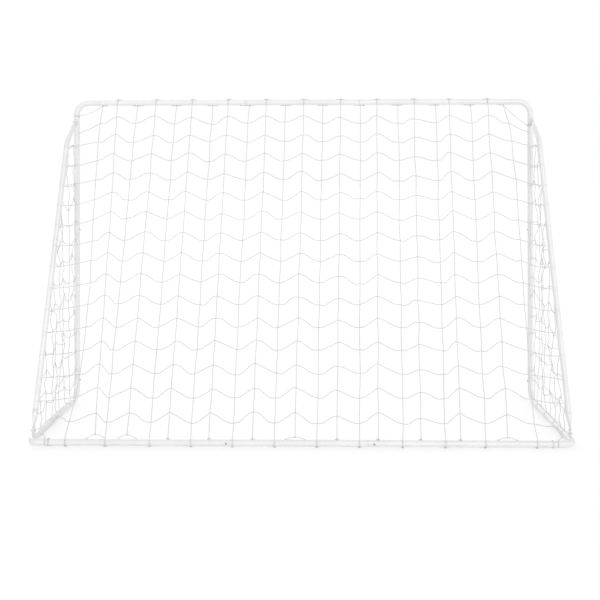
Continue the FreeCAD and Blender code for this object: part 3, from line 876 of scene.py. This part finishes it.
@dataclass
class BackNet:
    """The sloping back net: zigzag rows knotted to upright cords.

    Crest columns carry the high knots of the rows and go over the crossbar.  Valley columns
    carry the low knots and end under the crossbar.
    """

    goal: GoalSizes
    last_column: int = 11
    column_pitch: float = 0.0735
    valley_shift: float = -0.009
    narrowing: float = 0.05
    lean: float = 0.022
    rows: int = 15
    first_row: float = 0.070
    row_pitch: float = 0.0825
    valley_drop: float = 0.032
    belly: float = 0.006
    edge_drop: float = 0.025
    end_slack: float = 0.004
    wander: float = 0.0018
    sway: float = 0.0009
    offset: float = 0.0035
    rounding: float = 0.0045
    column_ends: tuple[float, float] = (-0.797, 0.799)
    kick_power: int = 12
    flattening: float = 0.8
    lowest_tie: float = 0.092
    corner: tuple[float, float] = (0.872, 0.026)
    corner_foot: float = 0.849
    wrap: float = 0.070
    row_slack: float = 0.0016
    edge_over: int = 96
    edge_under: int = 268
    over_bar: tuple[int, ...] = (97, 75, 52, 30)
    under_bar: tuple[int, ...] = (22, -8, -38, -66)
    twine: Twine = Twine(0.00130)
    knot_twine: Twine = Twine(0.00085)
    tie_twine: Twine = Twine(0.0012)
    flat_crests: Mapping[int, float] = field(
        default_factory=lambda: {-6: 0.45, -2: 0.75, 0: 0.95, 4: 0.9}
    )
    tent_rises: Mapping[int, float] = field(
        default_factory=lambda: {10: 0.013, 8: 0.012, 0: 0.006, -10: 0.008}
    )
    bends: Mapping[int, Bend] = field(
        default_factory=lambda: {
            11: Bend(bow=-0.030, power=2.0),
            10: Bend(foot=-0.040),
            -10: Bend(foot=-0.010),
            -11: Bend(-0.030, -0.020, 0.6, -0.016),
        }
    )
    rail_ties: Mapping[Side, float] = field(
        default_factory=lambda: {Side.RIGHT: 0.0, Side.LEFT: 0.115}
    )
    post_ties: Mapping[Side, float] = field(
        default_factory=lambda: {Side.RIGHT: 1.138, Side.LEFT: 1.097}
    )
    chance: random.Random = field(default_factory=lambda: random.Random(41))

    def __post_init__(self) -> None:
        """Works out the sloping plane and every knot."""
        goal = self.goal
        gap = goal.radius + self.twine.radius
        crossbar, rear_bar = row(0, goal.front, goal.top), row(0, goal.back, goal.low)
        self.down = unit(rear_bar - crossbar)
        self.out = np.cross(ACROSS, self.down)
        self.origin = crossbar + gap * self.out
        self.length = float(np.linalg.norm(rear_bar - crossbar))
        self.columns = range(-self.last_column, self.last_column + 1)
        self.offsets = {column: self.chance.gauss(0, self.offset) for column in self.columns}
        self.knots = {
            (column, line): self._knot(column, line)
            for column in self.columns
            for line in range(self.rows)
        }

    def at(self, x: float, run: float, lift: float = 0.0) -> Point:
        """A point of the sloping plane.

        Args:
            x: Place across the goal.
            run: Distance down the slope from the crossbar.
            lift: Height off the plane, to the outside of the goal.

        Returns:
            The point.
        """
        return self.origin + x * ACROSS + run * self.down + lift * self.out

    def column_x(self, column: int, run: float) -> float:
        """Where a column is at a distance down the slope.

        Args:
            column: The column, 0 in the middle and odd for a valley.
            run: The distance down the slope.

        Returns:
            Its place across the goal.
        """
        share = run / self.length
        start = column * self.column_pitch + (self.valley_shift if column % 2 else 0.0)
        least, most = self.column_ends
        start = max(least, min(most, start + self.offsets[column]))
        bend = self.bends.get(column, Bend())
        aside = (self.lean + bend.foot) * share
        bow = bend.bow * math.sin(math.pi * min(1.0, share) ** bend.power)
        kick = bend.kick * share**self.kick_power
        return start * (1 - self.narrowing * share) + aside + bow + kick

    def _top_place(self, column: int) -> float:
        """How far along the crossbar a column is tied."""
        return self.column_x(column, 0.0) + self.goal.post

    def _foot_place(self, column: int) -> float:
        """How far along the rear bar a column comes down."""
        return self.column_x(column, self.length) + self.goal.post

    def row_run(self, column: int, line: int) -> float:
        """How far down the slope a row is where it meets a column.

        Args:
            column: The column, 0 in the middle and odd for a valley.
            line: The row, 0 at the top.

        Returns:
            The distance.
        """
        crest = self.first_row + line * self.row_pitch
        if column % 2:
            return crest + self.valley_drop
        flat = self.flat_crests.get(column, 1.0)
        return crest + self.valley_drop * (1 - flat) * self.flattening

    def _knot(self, column: int, line: int) -> Point:
        """One knot with its small wander.

        Args:
            column: The column, 0 in the middle and odd for a valley.
            line: The row, 0 at the top.

        Returns:
            Its centre.
        """
        run = self.row_run(column, line) + self.chance.gauss(0, self.wander)
        x = self.column_x(column, run) + self.chance.gauss(0, self.sway)
        sag = -self.belly * math.sin(math.pi * run / self.length)
        return self.at(x, run, sag + self.chance.gauss(0, 0.0015))

    def build(self, finish: Material, edge_finish: Material) -> None:
        """Makes the columns, the rows, the knots and the edge cords.

        Args:
            finish: The net cord's material.
            edge_finish: The edge cord's material.
        """
        self._columns().finish(finish, ["back_net"])
        self._rows().finish(finish)
        self._knots().finish(finish)
        self._crossbar_edge().finish(edge_finish)
        self._rear_bar_edge().finish(edge_finish)

    def _columns(self) -> CordMesh:
        """The upright cords, from the crossbar to the rear bar.

        Returns:
            The mesh.
        """
        mesh = CordMesh("back_net_columns")
        for column in self.columns:
            line = self._column_top(column)
            line += [self.knots[column, i] for i in range(self.rows)]
            line += self._column_foot(column)
            mesh.sweep(smooth_through(line), self.twine)
        for side in Side:
            self._rail_corner(mesh, side)
        return mesh

    def _rail_corner(self, mesh: CordMesh, side: Side) -> None:
        """The cord from the last row's tie to the rear corner, and the short one on it.

        Args:
            mesh: The mesh that they join.
            side: The side of the goal.
        """
        tie = self._row_end(side, self.rows - 1)
        x, z = self.corner
        corner = row(side.value * x, self.goal.back - self.goal.radius - 0.006, z)
        slack = [tie + (corner - tie) * share - 0.003 * UPWARDS for share in (0.3, 0.7)]
        mesh.sweep(smooth_through([tie, *slack, corner]), self.twine)
        upper = tie + (corner - tie) * 0.86
        foot = side.value * self.corner_foot
        mesh.sweep(smooth_through([upper, *self._under_bar(foot, (70,))]), self.twine)

    def _under_bar(self, x: float, before: tuple[float, ...] = ()) -> list[Point]:
        """A cord's way over the rear bar and down behind it.

        Args:
            x: Where it crosses the bar.
            before: Angles that it passes before it reaches the bar's back.

        Returns:
            Its points, from the top down.
        """
        bar, at = self.goal.rear_bar(), x + self.goal.post
        turns = (*before, *self.under_bar)
        return [bar.around(at, turn, self.twine.radius) for turn in turns]

    def _column_top(self, column: int) -> list[Point]:
        """A column's path from its tie on the crossbar to just above its first knot.

        Args:
            column: The column, 0 in the middle and odd for a valley.

        Returns:
            Its points, from the top down.
        """
        bar = self.goal.crossbar()
        at = self._top_place(column)
        radius = self.twine.radius
        if column % 2:
            return [bar.around(at, -96, radius * 2), bar.around(at, -80, radius * 3)]
        over = [bar.around(at, angle, radius) for angle in self.over_bar]
        return over + [self.at(at - self.goal.post, 0.02)]

    def _column_foot(self, column: int) -> list[Point]:
        """A column's path from its last knot to the rear bar.

        Args:
            column: The column, 0 in the middle and odd for a valley.

        Returns:
            Its points, from the top down.
        """
        x = self.column_x(column, self.length)
        if column % 2:
            return [self.at(x, self.length - 0.016), *self._under_bar(x)]
        return [self._tent(column)]

    def _tent(self, column: int) -> Point:
        """Where the edge cord is drawn up to the foot of a crest column.

        Args:
            column: The column, 0 in the middle and odd for a valley.

        Returns:
            The point.
        """
        rise = self.tent_rises.get(column, 0.0015)
        x = self.column_x(column, self.length)
        return self.at(x, self.length - self.goal.radius - rise, -0.004)

    def _rows(self) -> CordMesh:
        """The zigzag rows, each from its tie on one side to its tie on the other.

        Returns:
            The mesh.
        """
        mesh = CordMesh("back_net_rows")
        for line in range(self.rows):
            path = [self._row_end(Side.LEFT, line)]
            for column in self.columns:
                here = self.knots[column, line]
                if column > -self.last_column:
                    path += self._between(self.knots[column - 1, line], here)
                path.append(here)
            path.append(self._row_end(Side.RIGHT, line))
            path.insert(1, self._hanging(path[0], path[1]))
            path.insert(-1, self._hanging(path[-1], path[-2]))
            mesh.sweep(smooth_through(path), self.twine)
        return mesh

    def _hanging(self, tie: Point, knot: Point) -> Point:
        """The lowest point of a row's slack end."""
        drop = abs(self.chance.gauss(self.end_slack, 0.002))
        return tie + (knot - tie) * 0.45 - drop * UPWARDS

    def _between(self, left: Point, right: Point) -> list[Point]:
        """Two points of a slack stretch of row, bowed up by its crest and down by its valley.

        Args:
            left: The knot at one end.
            right: The knot at the other end.

        Returns:
            The points, in order.
        """
        across = right - left
        bow = math.copysign(self.rounding, across @ self.down) * self.chance.uniform(0.2, 1.3)
        slack = abs(self.chance.gauss(self.row_slack, self.row_slack))
        points = []
        for share, part in ((0.27, -bow), (0.73, bow)):
            aside = self.chance.gauss(0, 0.0015) * ACROSS
            aside = aside + self.chance.gauss(0, 0.002) * self.out
            points.append(left + across * share + (slack + part) * self.down + aside)
        return points

    def edge_height(self, line: int) -> float:
        """The height at which a row is tied at the side of the net."""
        run = self.first_row + line * self.row_pitch + self.valley_drop + self.edge_drop
        return max(self.lowest_tie, float(self.at(0, run)[2]))

    def _row_end(self, side: Side, line: int) -> Point:
        """A row's tie: the first is on the post, the last on the rail, the rest on the stay.

        Args:
            side: The side of the goal.
            line: The row, 0 at the top.

        Returns:
            The point.
        """
        height, gap = self.edge_height(line), self.twine.radius * 2
        if line == 0:
            return self.goal.upright(side).around(height - 0.014, 40 * side.value, gap)
        if line == self.rows - 1:
            place = self.rail_ties[side] - self.goal.front
            return self.goal.rail(side).around(place, 60 * -side.value, gap)
        stay = self.goal.stay(side)
        return stay.around(stay.at_height(height), 0, gap)

    def _knots(self) -> CordMesh:
        """A knot at every crossing.

        Returns:
            The mesh.
        """
        mesh = CordMesh("back_net_knots")
        for (column, line), centre in self.knots.items():
            after = self.knots.get((column, line + 1))
            along = (after - centre) if after is not None else self.down
            mesh.knot(centre, along, ACROSS if column % 2 else -ACROSS, self.knot_twine)
        bar = self.goal.crossbar()
        for column in self.columns:
            at = self._top_place(column)
            angle = -92 if column % 2 else 94
            mesh.knot(bar.around(at, angle, 0.002), ACROSS, BACKWARDS, self.tie_twine)
            if column % 2:
                centre = self.goal.rear_bar().around(self._foot_place(column), -58, 0.0016)
                mesh.knot(centre, ACROSS, UPWARDS, self.tie_twine, 2.25)
            else:
                mesh.knot(self._tent(column), ACROSS, self.down, self.tie_twine, 2.0)
        return mesh

    def _crossbar_edge(self) -> CordMesh:
        """The crossbar's edge cord: under it at each valley column, over it at each crest.

        Returns:
            The mesh.
        """
        mesh = CordMesh("crossbar_edge_cord")
        bar = self.goal.crossbar()
        line = []
        over, under = self.edge_over, self.edge_under
        for column in range(-self.last_column, self.last_column):
            start, end = self._top_place(column), self._top_place(column + 1)
            begins, ends = (under, over) if column % 2 else (over, under)
            for share in (0.0, 0.12, 0.3, 0.5, 0.7, 0.88):
                turn = begins + (ends - begins) * (share * share * (3 - 2 * share))
                gap = self.twine.radius + 0.001 * math.sin(math.pi * share)
                line.append(bar.around(start + (end - start) * share, turn, gap))
        line.append(bar.around(self._top_place(self.last_column), under, self.twine.radius))
        left, right = (
            [self._corner_tie(side, share) for share in (0.33, 0.66, 1.0)]
            + self._post_loops(side)
            for side in (Side.LEFT, Side.RIGHT)
        )
        mesh.sweep(smooth_through(left[::-1] + line + right, 6), self.twine)
        return mesh

    def _corner_tie(self, side: Side, share: float) -> Point:
        """A point of the slanting cord that cuts off the net's top corner.

        Args:
            side: The side of the goal.
            share: How far along it, from the crossbar to the post.

        Returns:
            The point.
        """
        place = self._top_place(side.value * self.last_column)
        start = self.goal.crossbar().around(place, -92, 0.0015)
        end = self._post_loops(side)[0]
        slack = 0.006 * math.sin(math.pi * share)
        return start + (end - start) * share - slack * UPWARDS

    def _post_loops(self, side: Side) -> list[Point]:
        """Turns of the edge cord round the post, near the stay's joint.

        Args:
            side: The side of the goal.

        Returns:
            Their points.
        """
        post = self.goal.upright(side)
        turns, advance = 1.25 * -side.value, 0.003 * side.value
        return post.loop(self.post_ties[side], 90 * side.value, self.twine.radius, turns, advance)

    def _rear_bar_edge(self) -> CordMesh:
        """The rear bar's edge cord: under it at the valleys and drawn up at the crests.

        Returns:
            The mesh.
        """
        mesh = CordMesh("rear_bar_edge_cord")
        bar, radius = self.goal.rear_bar(), self.twine.radius
        line = bar.loop(self.wrap, -60, radius, 1, 0.0034)
        for column in range(-self.last_column, self.last_column + 1):
            at = self._foot_place(column)
            if column % 2:
                turns = ((-0.012, 215), (-0.004, 262), (0.004, 278), (0.010, 232))
                line += [bar.around(at + aside, turn, radius) for aside, turn in turns]
            else:
                spread, turn = (0.032, 118) if column in self.tent_rises else (0.011, 150)
                left, right = (bar.around(at + aside, turn, 0.0014) for aside in (-spread, spread))
                line += [left, self._tent(column), right]
        line += bar.loop(2 * self.goal.post - self.wrap, -60, radius, 2, 0.0040)
        mesh.sweep(smooth_through(line, 6), self.twine)
        return mesh


@dataclass
class SideNet:
    """A slack side net between post, stay and ground rail, with its lashings."""

    goal: GoalSizes
    back: BackNet
    side: Side
    pitch: float = 0.046
    spread: float = 1.12
    most_columns: int = 10
    zigzag: float = 0.010
    wander: float = 0.008
    bulge: float = 0.005
    ripple: float = 0.003
    stay_room: float = 0.022
    rail_room: float = 0.020
    tie_wander: float = 0.006
    row_drop: float = 0.005
    column_drop: float = 0.002
    loop_advance: float = 0.003
    short_span: float = 0.07
    swing: float = 14.0
    stay_rest: float = -20.0
    post_foot: float = 0.12
    rail_places: tuple[float, ...] = (0.13, 0.25, 0.37, 0.48)
    seeds: Mapping[Side, int] = field(default_factory=lambda: {Side.RIGHT: 77, Side.LEFT: 93})
    twine: Twine = Twine(0.00110)
    knot_twine: Twine = Twine(0.00080)
    edge: Twine = Twine(0.0009, ply_depth=0.08)

    def __post_init__(self) -> None:
        """Works out the net's knots."""
        self.chance = random.Random(self.seeds[self.side])
        self.x = self.side.value * self.goal.post
        self.stay = self.goal.stay(self.side)
        self.upright = self.goal.upright(self.side)
        self.post_y = self.goal.front + self.goal.radius + self.twine.radius
        self.floor_z = self.goal.low + self.goal.radius + self.twine.radius
        self.heights = [self.back.edge_height(i) for i in range(1, self.back.rows)]
        self.bulges = [self.chance.gauss(0, self.bulge) for _ in range(self.most_columns)]
        self.knots: dict[tuple[int, int], Point] = {}
        for line, height in enumerate(self.heights):
            for column in range(1, self.most_columns):
                if self._fits(column, height):
                    self.knots[column, line] = self._knot(column, height)

    def stay_y(self, height: float) -> float:
        """Where the front of the stay is at a height."""
        stay = self.stay
        return float((stay.start + stay.axis * stay.at_height(height))[1]) - stay.radius

    def _fits(self, column: int, height: float) -> bool:
        """Whether a column still stands clear of the stay at a height."""
        return self._column_y(column) < self.stay_y(height) - self.stay_room

    def _column_y(self, column: int) -> float:
        """Where a column hangs: closer together near the post."""
        return self.post_y + self.pitch * column**self.spread

    def _knot(self, column: int, height: float) -> Point:
        """One knot of the slack net.

        Args:
            column: The column, counted from the post.
            height: The height of its row.

        Returns:
            Its centre.
        """
        y = self._column_y(column) + self.chance.gauss(0, self.wander)
        z = height + (self.zigzag if column % 2 else -self.zigzag)
        z += self.chance.gauss(0, self.wander)
        x = self.x + self.bulges[column] + self.chance.gauss(0, self.ripple)
        return row(x, y, max(z, self.floor_z + self.rail_room))

    def build(self, finish: Material, lashing_finish: Material) -> None:
        """Makes the net and its lashings.

        Args:
            finish: The net cord's material.
            lashing_finish: The material of the cords that go round the tubes.
        """
        word = self.side.word
        weave = CordMesh(f"{word}_side_net_cords")
        self._rows(weave)
        self._columns(weave)
        for centre in self.knots.values():
            weave.knot(centre, row(0, 0.1, 1), BACKWARDS, self.knot_twine)
        weave.finish(finish, [f"{word}_side_net"])
        ties = CordMesh(f"{word}_lashings")
        stay_places = sorted(self.stay.at_height(height) for height in self.heights)
        post_places = sorted([*self.heights[::2], self.post_foot])
        for tube, places, rest in (
            (self.stay, stay_places, self.stay_rest * self.side.value),
            (self.upright, post_places, 0.0),
            (self.goal.rail(self.side), self.rail_places, 0.0),
        ):
            ties.sweep(self._lash(tube, places, rest), self.edge)
        ties.finish(lashing_finish)

    def _slack(self, start: Point, end: Point, drop: float) -> list[Point]:
        """Two points of a slack stretch of cord, at its thirds.

        Args:
            start: One end.
            end: The other end.
            drop: How far it hangs down.

        Returns:
            The points, in order.
        """
        ease = min(1.0, float(np.linalg.norm(end - start)) / self.short_span)
        points = []
        for share in (0.33, 0.67):
            x, y = self.chance.gauss(0, 0.0025), self.chance.gauss(0, 0.004)
            drift = row(x, y, -self.chance.gauss(drop, 0.003))
            points.append(start + (end - start) * share + ease * drift)
        return points

    def _threaded(self, knots: Sequence[Point], drop: float) -> np.ndarray:
        """A cord through knots, slack between them.

        Args:
            knots: The knots, in order.
            drop: How far each stretch hangs down.

        Returns:
            The line.
        """
        path = [knots[0]]
        for start, end in zip(knots, knots[1:]):
            path += [*self._slack(start, end, drop), end]
        return smooth_through(path)

    def _rows(self, mesh: CordMesh) -> None:
        """Cords from the post to the stay.

        Args:
            mesh: The mesh that they join.
        """
        for line, height in enumerate(self.heights):
            place = height + self.chance.gauss(0, self.tie_wander)
            front = self.upright.around(place, 0, self.twine.radius)
            inner = [knot for (_, at), knot in self.knots.items() if at == line]
            path = [front, *inner, self._on_stay(height)]
            mesh.sweep(self._threaded(path, self.row_drop), self.twine)

    def _columns(self, mesh: CordMesh) -> None:
        """Cords from the stay down to the rail.

        Args:
            mesh: The mesh that they join.
        """
        for column in range(1, self.most_columns):
            inner = [knot for (at, _), knot in self.knots.items() if at == column]
            if not inner:
                continue
            upper = self._on_stay(self._meeting_height(column))
            y = inner[-1][1] + self.chance.gauss(0, self.tie_wander)
            path = [upper, *inner, row(self.x, y, self.floor_z)]
            mesh.sweep(self._threaded(path, self.column_drop), self.twine)

    def _on_stay(self, height: float) -> Point:
        """The front of the stay at a height, where a cord is tied."""
        place, angle = self.stay.at_height(height), 90 * -self.side.value
        return self.stay.around(place, angle, self.twine.radius)

    def _meeting_height(self, column: int) -> float:
        """The height at which a column meets the stay.

        Args:
            column: The column, counted from the post.

        Returns:
            The height.
        """
        y = self._column_y(column)
        stay = self.stay
        share = (y + stay.radius - stay.start[1]) / stay.axis[1]
        return min(1.0, float((stay.start + share * stay.axis)[2]))

    def _lash(self, tube: TubeRun, places: Sequence[float], rest: float) -> np.ndarray:
        """A cord that runs along a tube and goes once round it at each place.

        Args:
            tube: The tube.
            places: Distances along it, in order.
            rest: The angle at which the cord runs between the places, in degrees.

        Returns:
            The line.
        """
        path: list[Point] = []
        step, radius = self.loop_advance, self.edge.radius
        for before, place in zip([None, *places], places):
            if before is not None:
                swung = rest + self.chance.gauss(0, self.swing)
                path.append(tube.around((before + place) / 2, swung, radius + 0.001))
            path += tube.loop(place - step, rest, radius, 1, step)
        return smooth_through(path, 6)


# ---- tube details


@dataclass
class StayWelds:
    """The weld beads round the roots of the four stay lugs."""

    goal: GoalSizes
    half_width: float = 0.0096
    half_thickness: float = 0.0016
    end_power: float = 0.35
    flank_power: float = 0.6
    bead: float = 0.0013
    points: int = 22

    def build(self, side: Side, finish: Material) -> None:
        """Makes one side's two beads.

        Args:
            side: The side of the goal.
            finish: The paint that covers them.
        """
        mesh = CordMesh(f"{side.word}_stay_welds")
        x = side.value * self.goal.post
        top = row(x, self.goal.front, self.goal.stay_lug_height)
        low = row(x, self.goal.stay_foot[0], self.goal.low)
        self._bead(mesh, top, BACKWARDS, UPWARDS)
        self._bead(mesh, low, UPWARDS, BACKWARDS)
        piece = mesh.finish(finish)

    def _bead(self, mesh: CordMesh, centre: Point, out: Point, along: Point) -> None:
        """One closed bead that follows the tube's round surface.

        Args:
            mesh: The mesh that it joins.
            centre: The tube's centre under the lug.
            out: The direction in which the lug stands.
            along: The direction of the lug's width.
        """
        across = np.cross(out, along)
        line = []
        for i in range(self.points + 1):
            angle = i / self.points * FULL_TURN
            cosine, sine = math.cos(angle), math.sin(angle)
            wide = self.half_width * math.copysign(abs(cosine) ** self.end_power, cosine)
            thick = self.half_thickness * math.copysign(abs(sine) ** self.flank_power, sine)
            thick += math.copysign(self.bead * 0.5, thick)
            height = math.sqrt(self.goal.radius**2 - thick**2) + self.bead * 0.2
            line.append(centre + wide * along + thick * across + height * out)
        ripple = Twine(self.bead, 0.0005, lay=0.0024, ply_depth=0.10, plies=1, sides=8)
        mesh.sweep(smooth_through(line, 3), ripple)


@dataclass
class LeafSprings:
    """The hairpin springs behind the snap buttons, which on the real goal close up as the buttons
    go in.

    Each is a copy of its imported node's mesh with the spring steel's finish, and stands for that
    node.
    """

    travel: float = 0.004
    spare: float = 0.00003

    def build(self, finish: Material) -> None:
        """Makes the eight springs.

        Args:
            finish: The spring steel's material.
        """
        for joint in frame["record"]["behaviour"]["joints"]:
            node = joint["deforming_nodes"][0]["node"]
            self._spring(node, finish)

    def _spring(self, node: str, finish: Material) -> None:
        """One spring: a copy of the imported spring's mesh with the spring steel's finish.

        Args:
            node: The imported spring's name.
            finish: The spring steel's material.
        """
        mesh = frame["nodes"][node].data.copy()
        mesh.materials.clear()
        mesh.materials.append(finish)
        piece = new_object(f"{node}_leaf", mesh)
        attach(piece, BODY)
        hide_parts(node)
        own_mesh(piece)


@dataclass
class FrameDressing:
    """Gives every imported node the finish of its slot."""

    materials: Mapping[str, Material]

    def dress(self) -> None:
        """Puts the materials on the nodes' objects."""
        slots = {part["node"]: part["material_slot"] for part in frame["record"]["subparts"]}
        for name, piece in frame["nodes"].items():
            material = self.materials[slots[name]]
            if not piece.material_slots:
                piece.data.materials.append(material)
            for slot in piece.material_slots:
                slot.material = material
            LOG.info("%s: %s", name, material.name)


# ---- studio


@dataclass(frozen=True)
class SoftSun:
    """A wide soft light whose strength is the same all over the floor.

    Attributes:
        name: Its name.
        place: The direction that it comes from.
        spread: How wide it looks, in degrees.
        power: Watts on a square metre that faces it.
    """

    name: str
    place: tuple[float, float, float]
    spread: float
    power: float

    def build(self) -> None:
        """Makes the light."""
        lamp = bpy.data.lights.new(self.name, "SUN")
        lamp.angle, lamp.energy = math.radians(self.spread), self.power
        holder = new_object(self.name, lamp)
        holder.location = self.place
        holder.rotation_euler = (-Vector(self.place)).to_track_quat("-Z", "Y").to_euler()


@dataclass
class Studio:
    """The floor, the lights and the camera."""

    lamps: tuple[SoftSun, ...] = (
        SoftSun("back_light", (-1.2, 3.5, 2.0), 40.0, 0.75),
        SoftSun("mouth_light", (1.5, -3.5, 2.2), 40.0, 0.55),
    )
    floor_drop: float = 0.0030
    floor_radius: float = 60.0
    floor_sides: int = 96
    eye: tuple[float, float, float] = (-0.05457, 3.2242, 0.89575)
    heading: float = 0.01845
    roll: float = -0.00121
    lens: float = 53.02
    sensor: float = 36.0
    rise: float = -0.2067

    def build(self) -> None:
        """Makes the whole studio."""
        self._floor()
        self._world()
        for lamp in self.lamps:
            lamp.build()
        self._camera()
        bpy.context.scene.view_settings.view_transform = "Standard"

    def _floor(self) -> None:
        """A round pale floor, just under the lashings that the goal rests on."""
        ring = [
            (self.floor_radius * math.cos(a), self.floor_radius * math.sin(a), -self.floor_drop)
            for a in (i * FULL_TURN / self.floor_sides for i in range(self.floor_sides))
        ]
        mesh = bpy.data.meshes.new("floor")
        mesh.from_pydata(ring, [], [tuple(range(self.floor_sides))])
        mesh.materials.append(FloorFinish().build())
        floor = new_object("floor", mesh)

    def _world(self) -> None:
        """A soft white surround, brighter in front of the goal and behind it than at its sides."""
        world = bpy.data.worlds.new("studio")
        bpy.context.scene.world = world
        world.use_nodes = True
        graph = Graph(world.node_tree)
        depth = graph.along("Y", graph.node("ShaderNodeTexCoord", output="Generated"))
        glow = abs(depth).between(0.15, 0.95).blend(shade(0.72), shade(1.02))
        seen = graph.node("ShaderNodeLightPath", output="Is Camera Ray").blend(glow, shade(1.0))
        surround = graph.node("ShaderNodeBackground", None, {"Color": seen, "Strength": 1.0})
        graph.node("ShaderNodeOutputWorld", None, {"Surface": surround})

    def _camera(self) -> None:
        """The camera, level, behind the goal."""
        camera = bpy.data.cameras.new("camera")
        camera.lens, camera.sensor_width, camera.shift_y = self.lens, self.sensor, self.rise
        holder = new_object("camera", camera)
        ahead = Vector((math.sin(self.heading), -math.cos(self.heading), 0))
        level = Vector((-math.cos(self.heading), -math.sin(self.heading), 0))
        upward = Vector((0, 0, 1))
        right = math.cos(self.roll) * level + math.sin(self.roll) * upward
        up = math.cos(self.roll) * upward - math.sin(self.roll) * level
        turned = Matrix((right, up, -ahead)).transposed().to_4x4()
        holder.matrix_world = Matrix.Translation(self.eye) @ turned
        bpy.context.scene.camera = holder


def main() -> None:
    """Builds the net and the details, dresses the frame and lights it."""
    logging.basicConfig(level=logging.INFO, format="%(name)s: %(message)s")
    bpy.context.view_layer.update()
    # One white cord in three brightnesses: the edge cord and the lashing are painted lighter than
    # the net cord, as painted light against the shade that falls where they lie on the tubes.
    net_cord = CordFinish("net_cord_white", light=0.72, ply_shade_and_patch=0.48).build()
    edge_cord = CordFinish("edge_cord_white", light=0.78, ply_shade_and_patch=0.58).build()
    lashing = CordFinish("lashing_cord_white", light=0.88, ply_shade_and_patch=0.78).build()
    paint = PaintFinish().build()
    blued = SteelFinish("blued_spring", bright=0.26, stained=0.16, roughness=0.35, warmth=-0.06)
    dull_zinc = SteelFinish("dull_zinc_button", bright=0.36, stained=0.22, roughness=0.38)
    bright_zinc = SteelFinish("bright_zinc", bright=0.80, stained=0.66, roughness=0.36)
    spring_steel = blued.build()
    FrameDressing(
        {
            Slot.PAINT.value: paint,
            Slot.CORD.value: net_cord,
            Slot.BUTTON.value: dull_zinc.build(),
            Slot.SPRING.value: spring_steel,
            Slot.ZINC.value: bright_zinc.build(),
        }
    ).dress()
    goal = GoalSizes()
    back = BackNet(goal)
    back.build(net_cord, edge_cord)
    for side in Side:
        SideNet(goal, back, side).build(net_cord, lashing)
        StayWelds(goal).build(side, paint)
    LeafSprings().build(spring_steel)
    Studio().build()


if __name__ == "__main__":
    main()
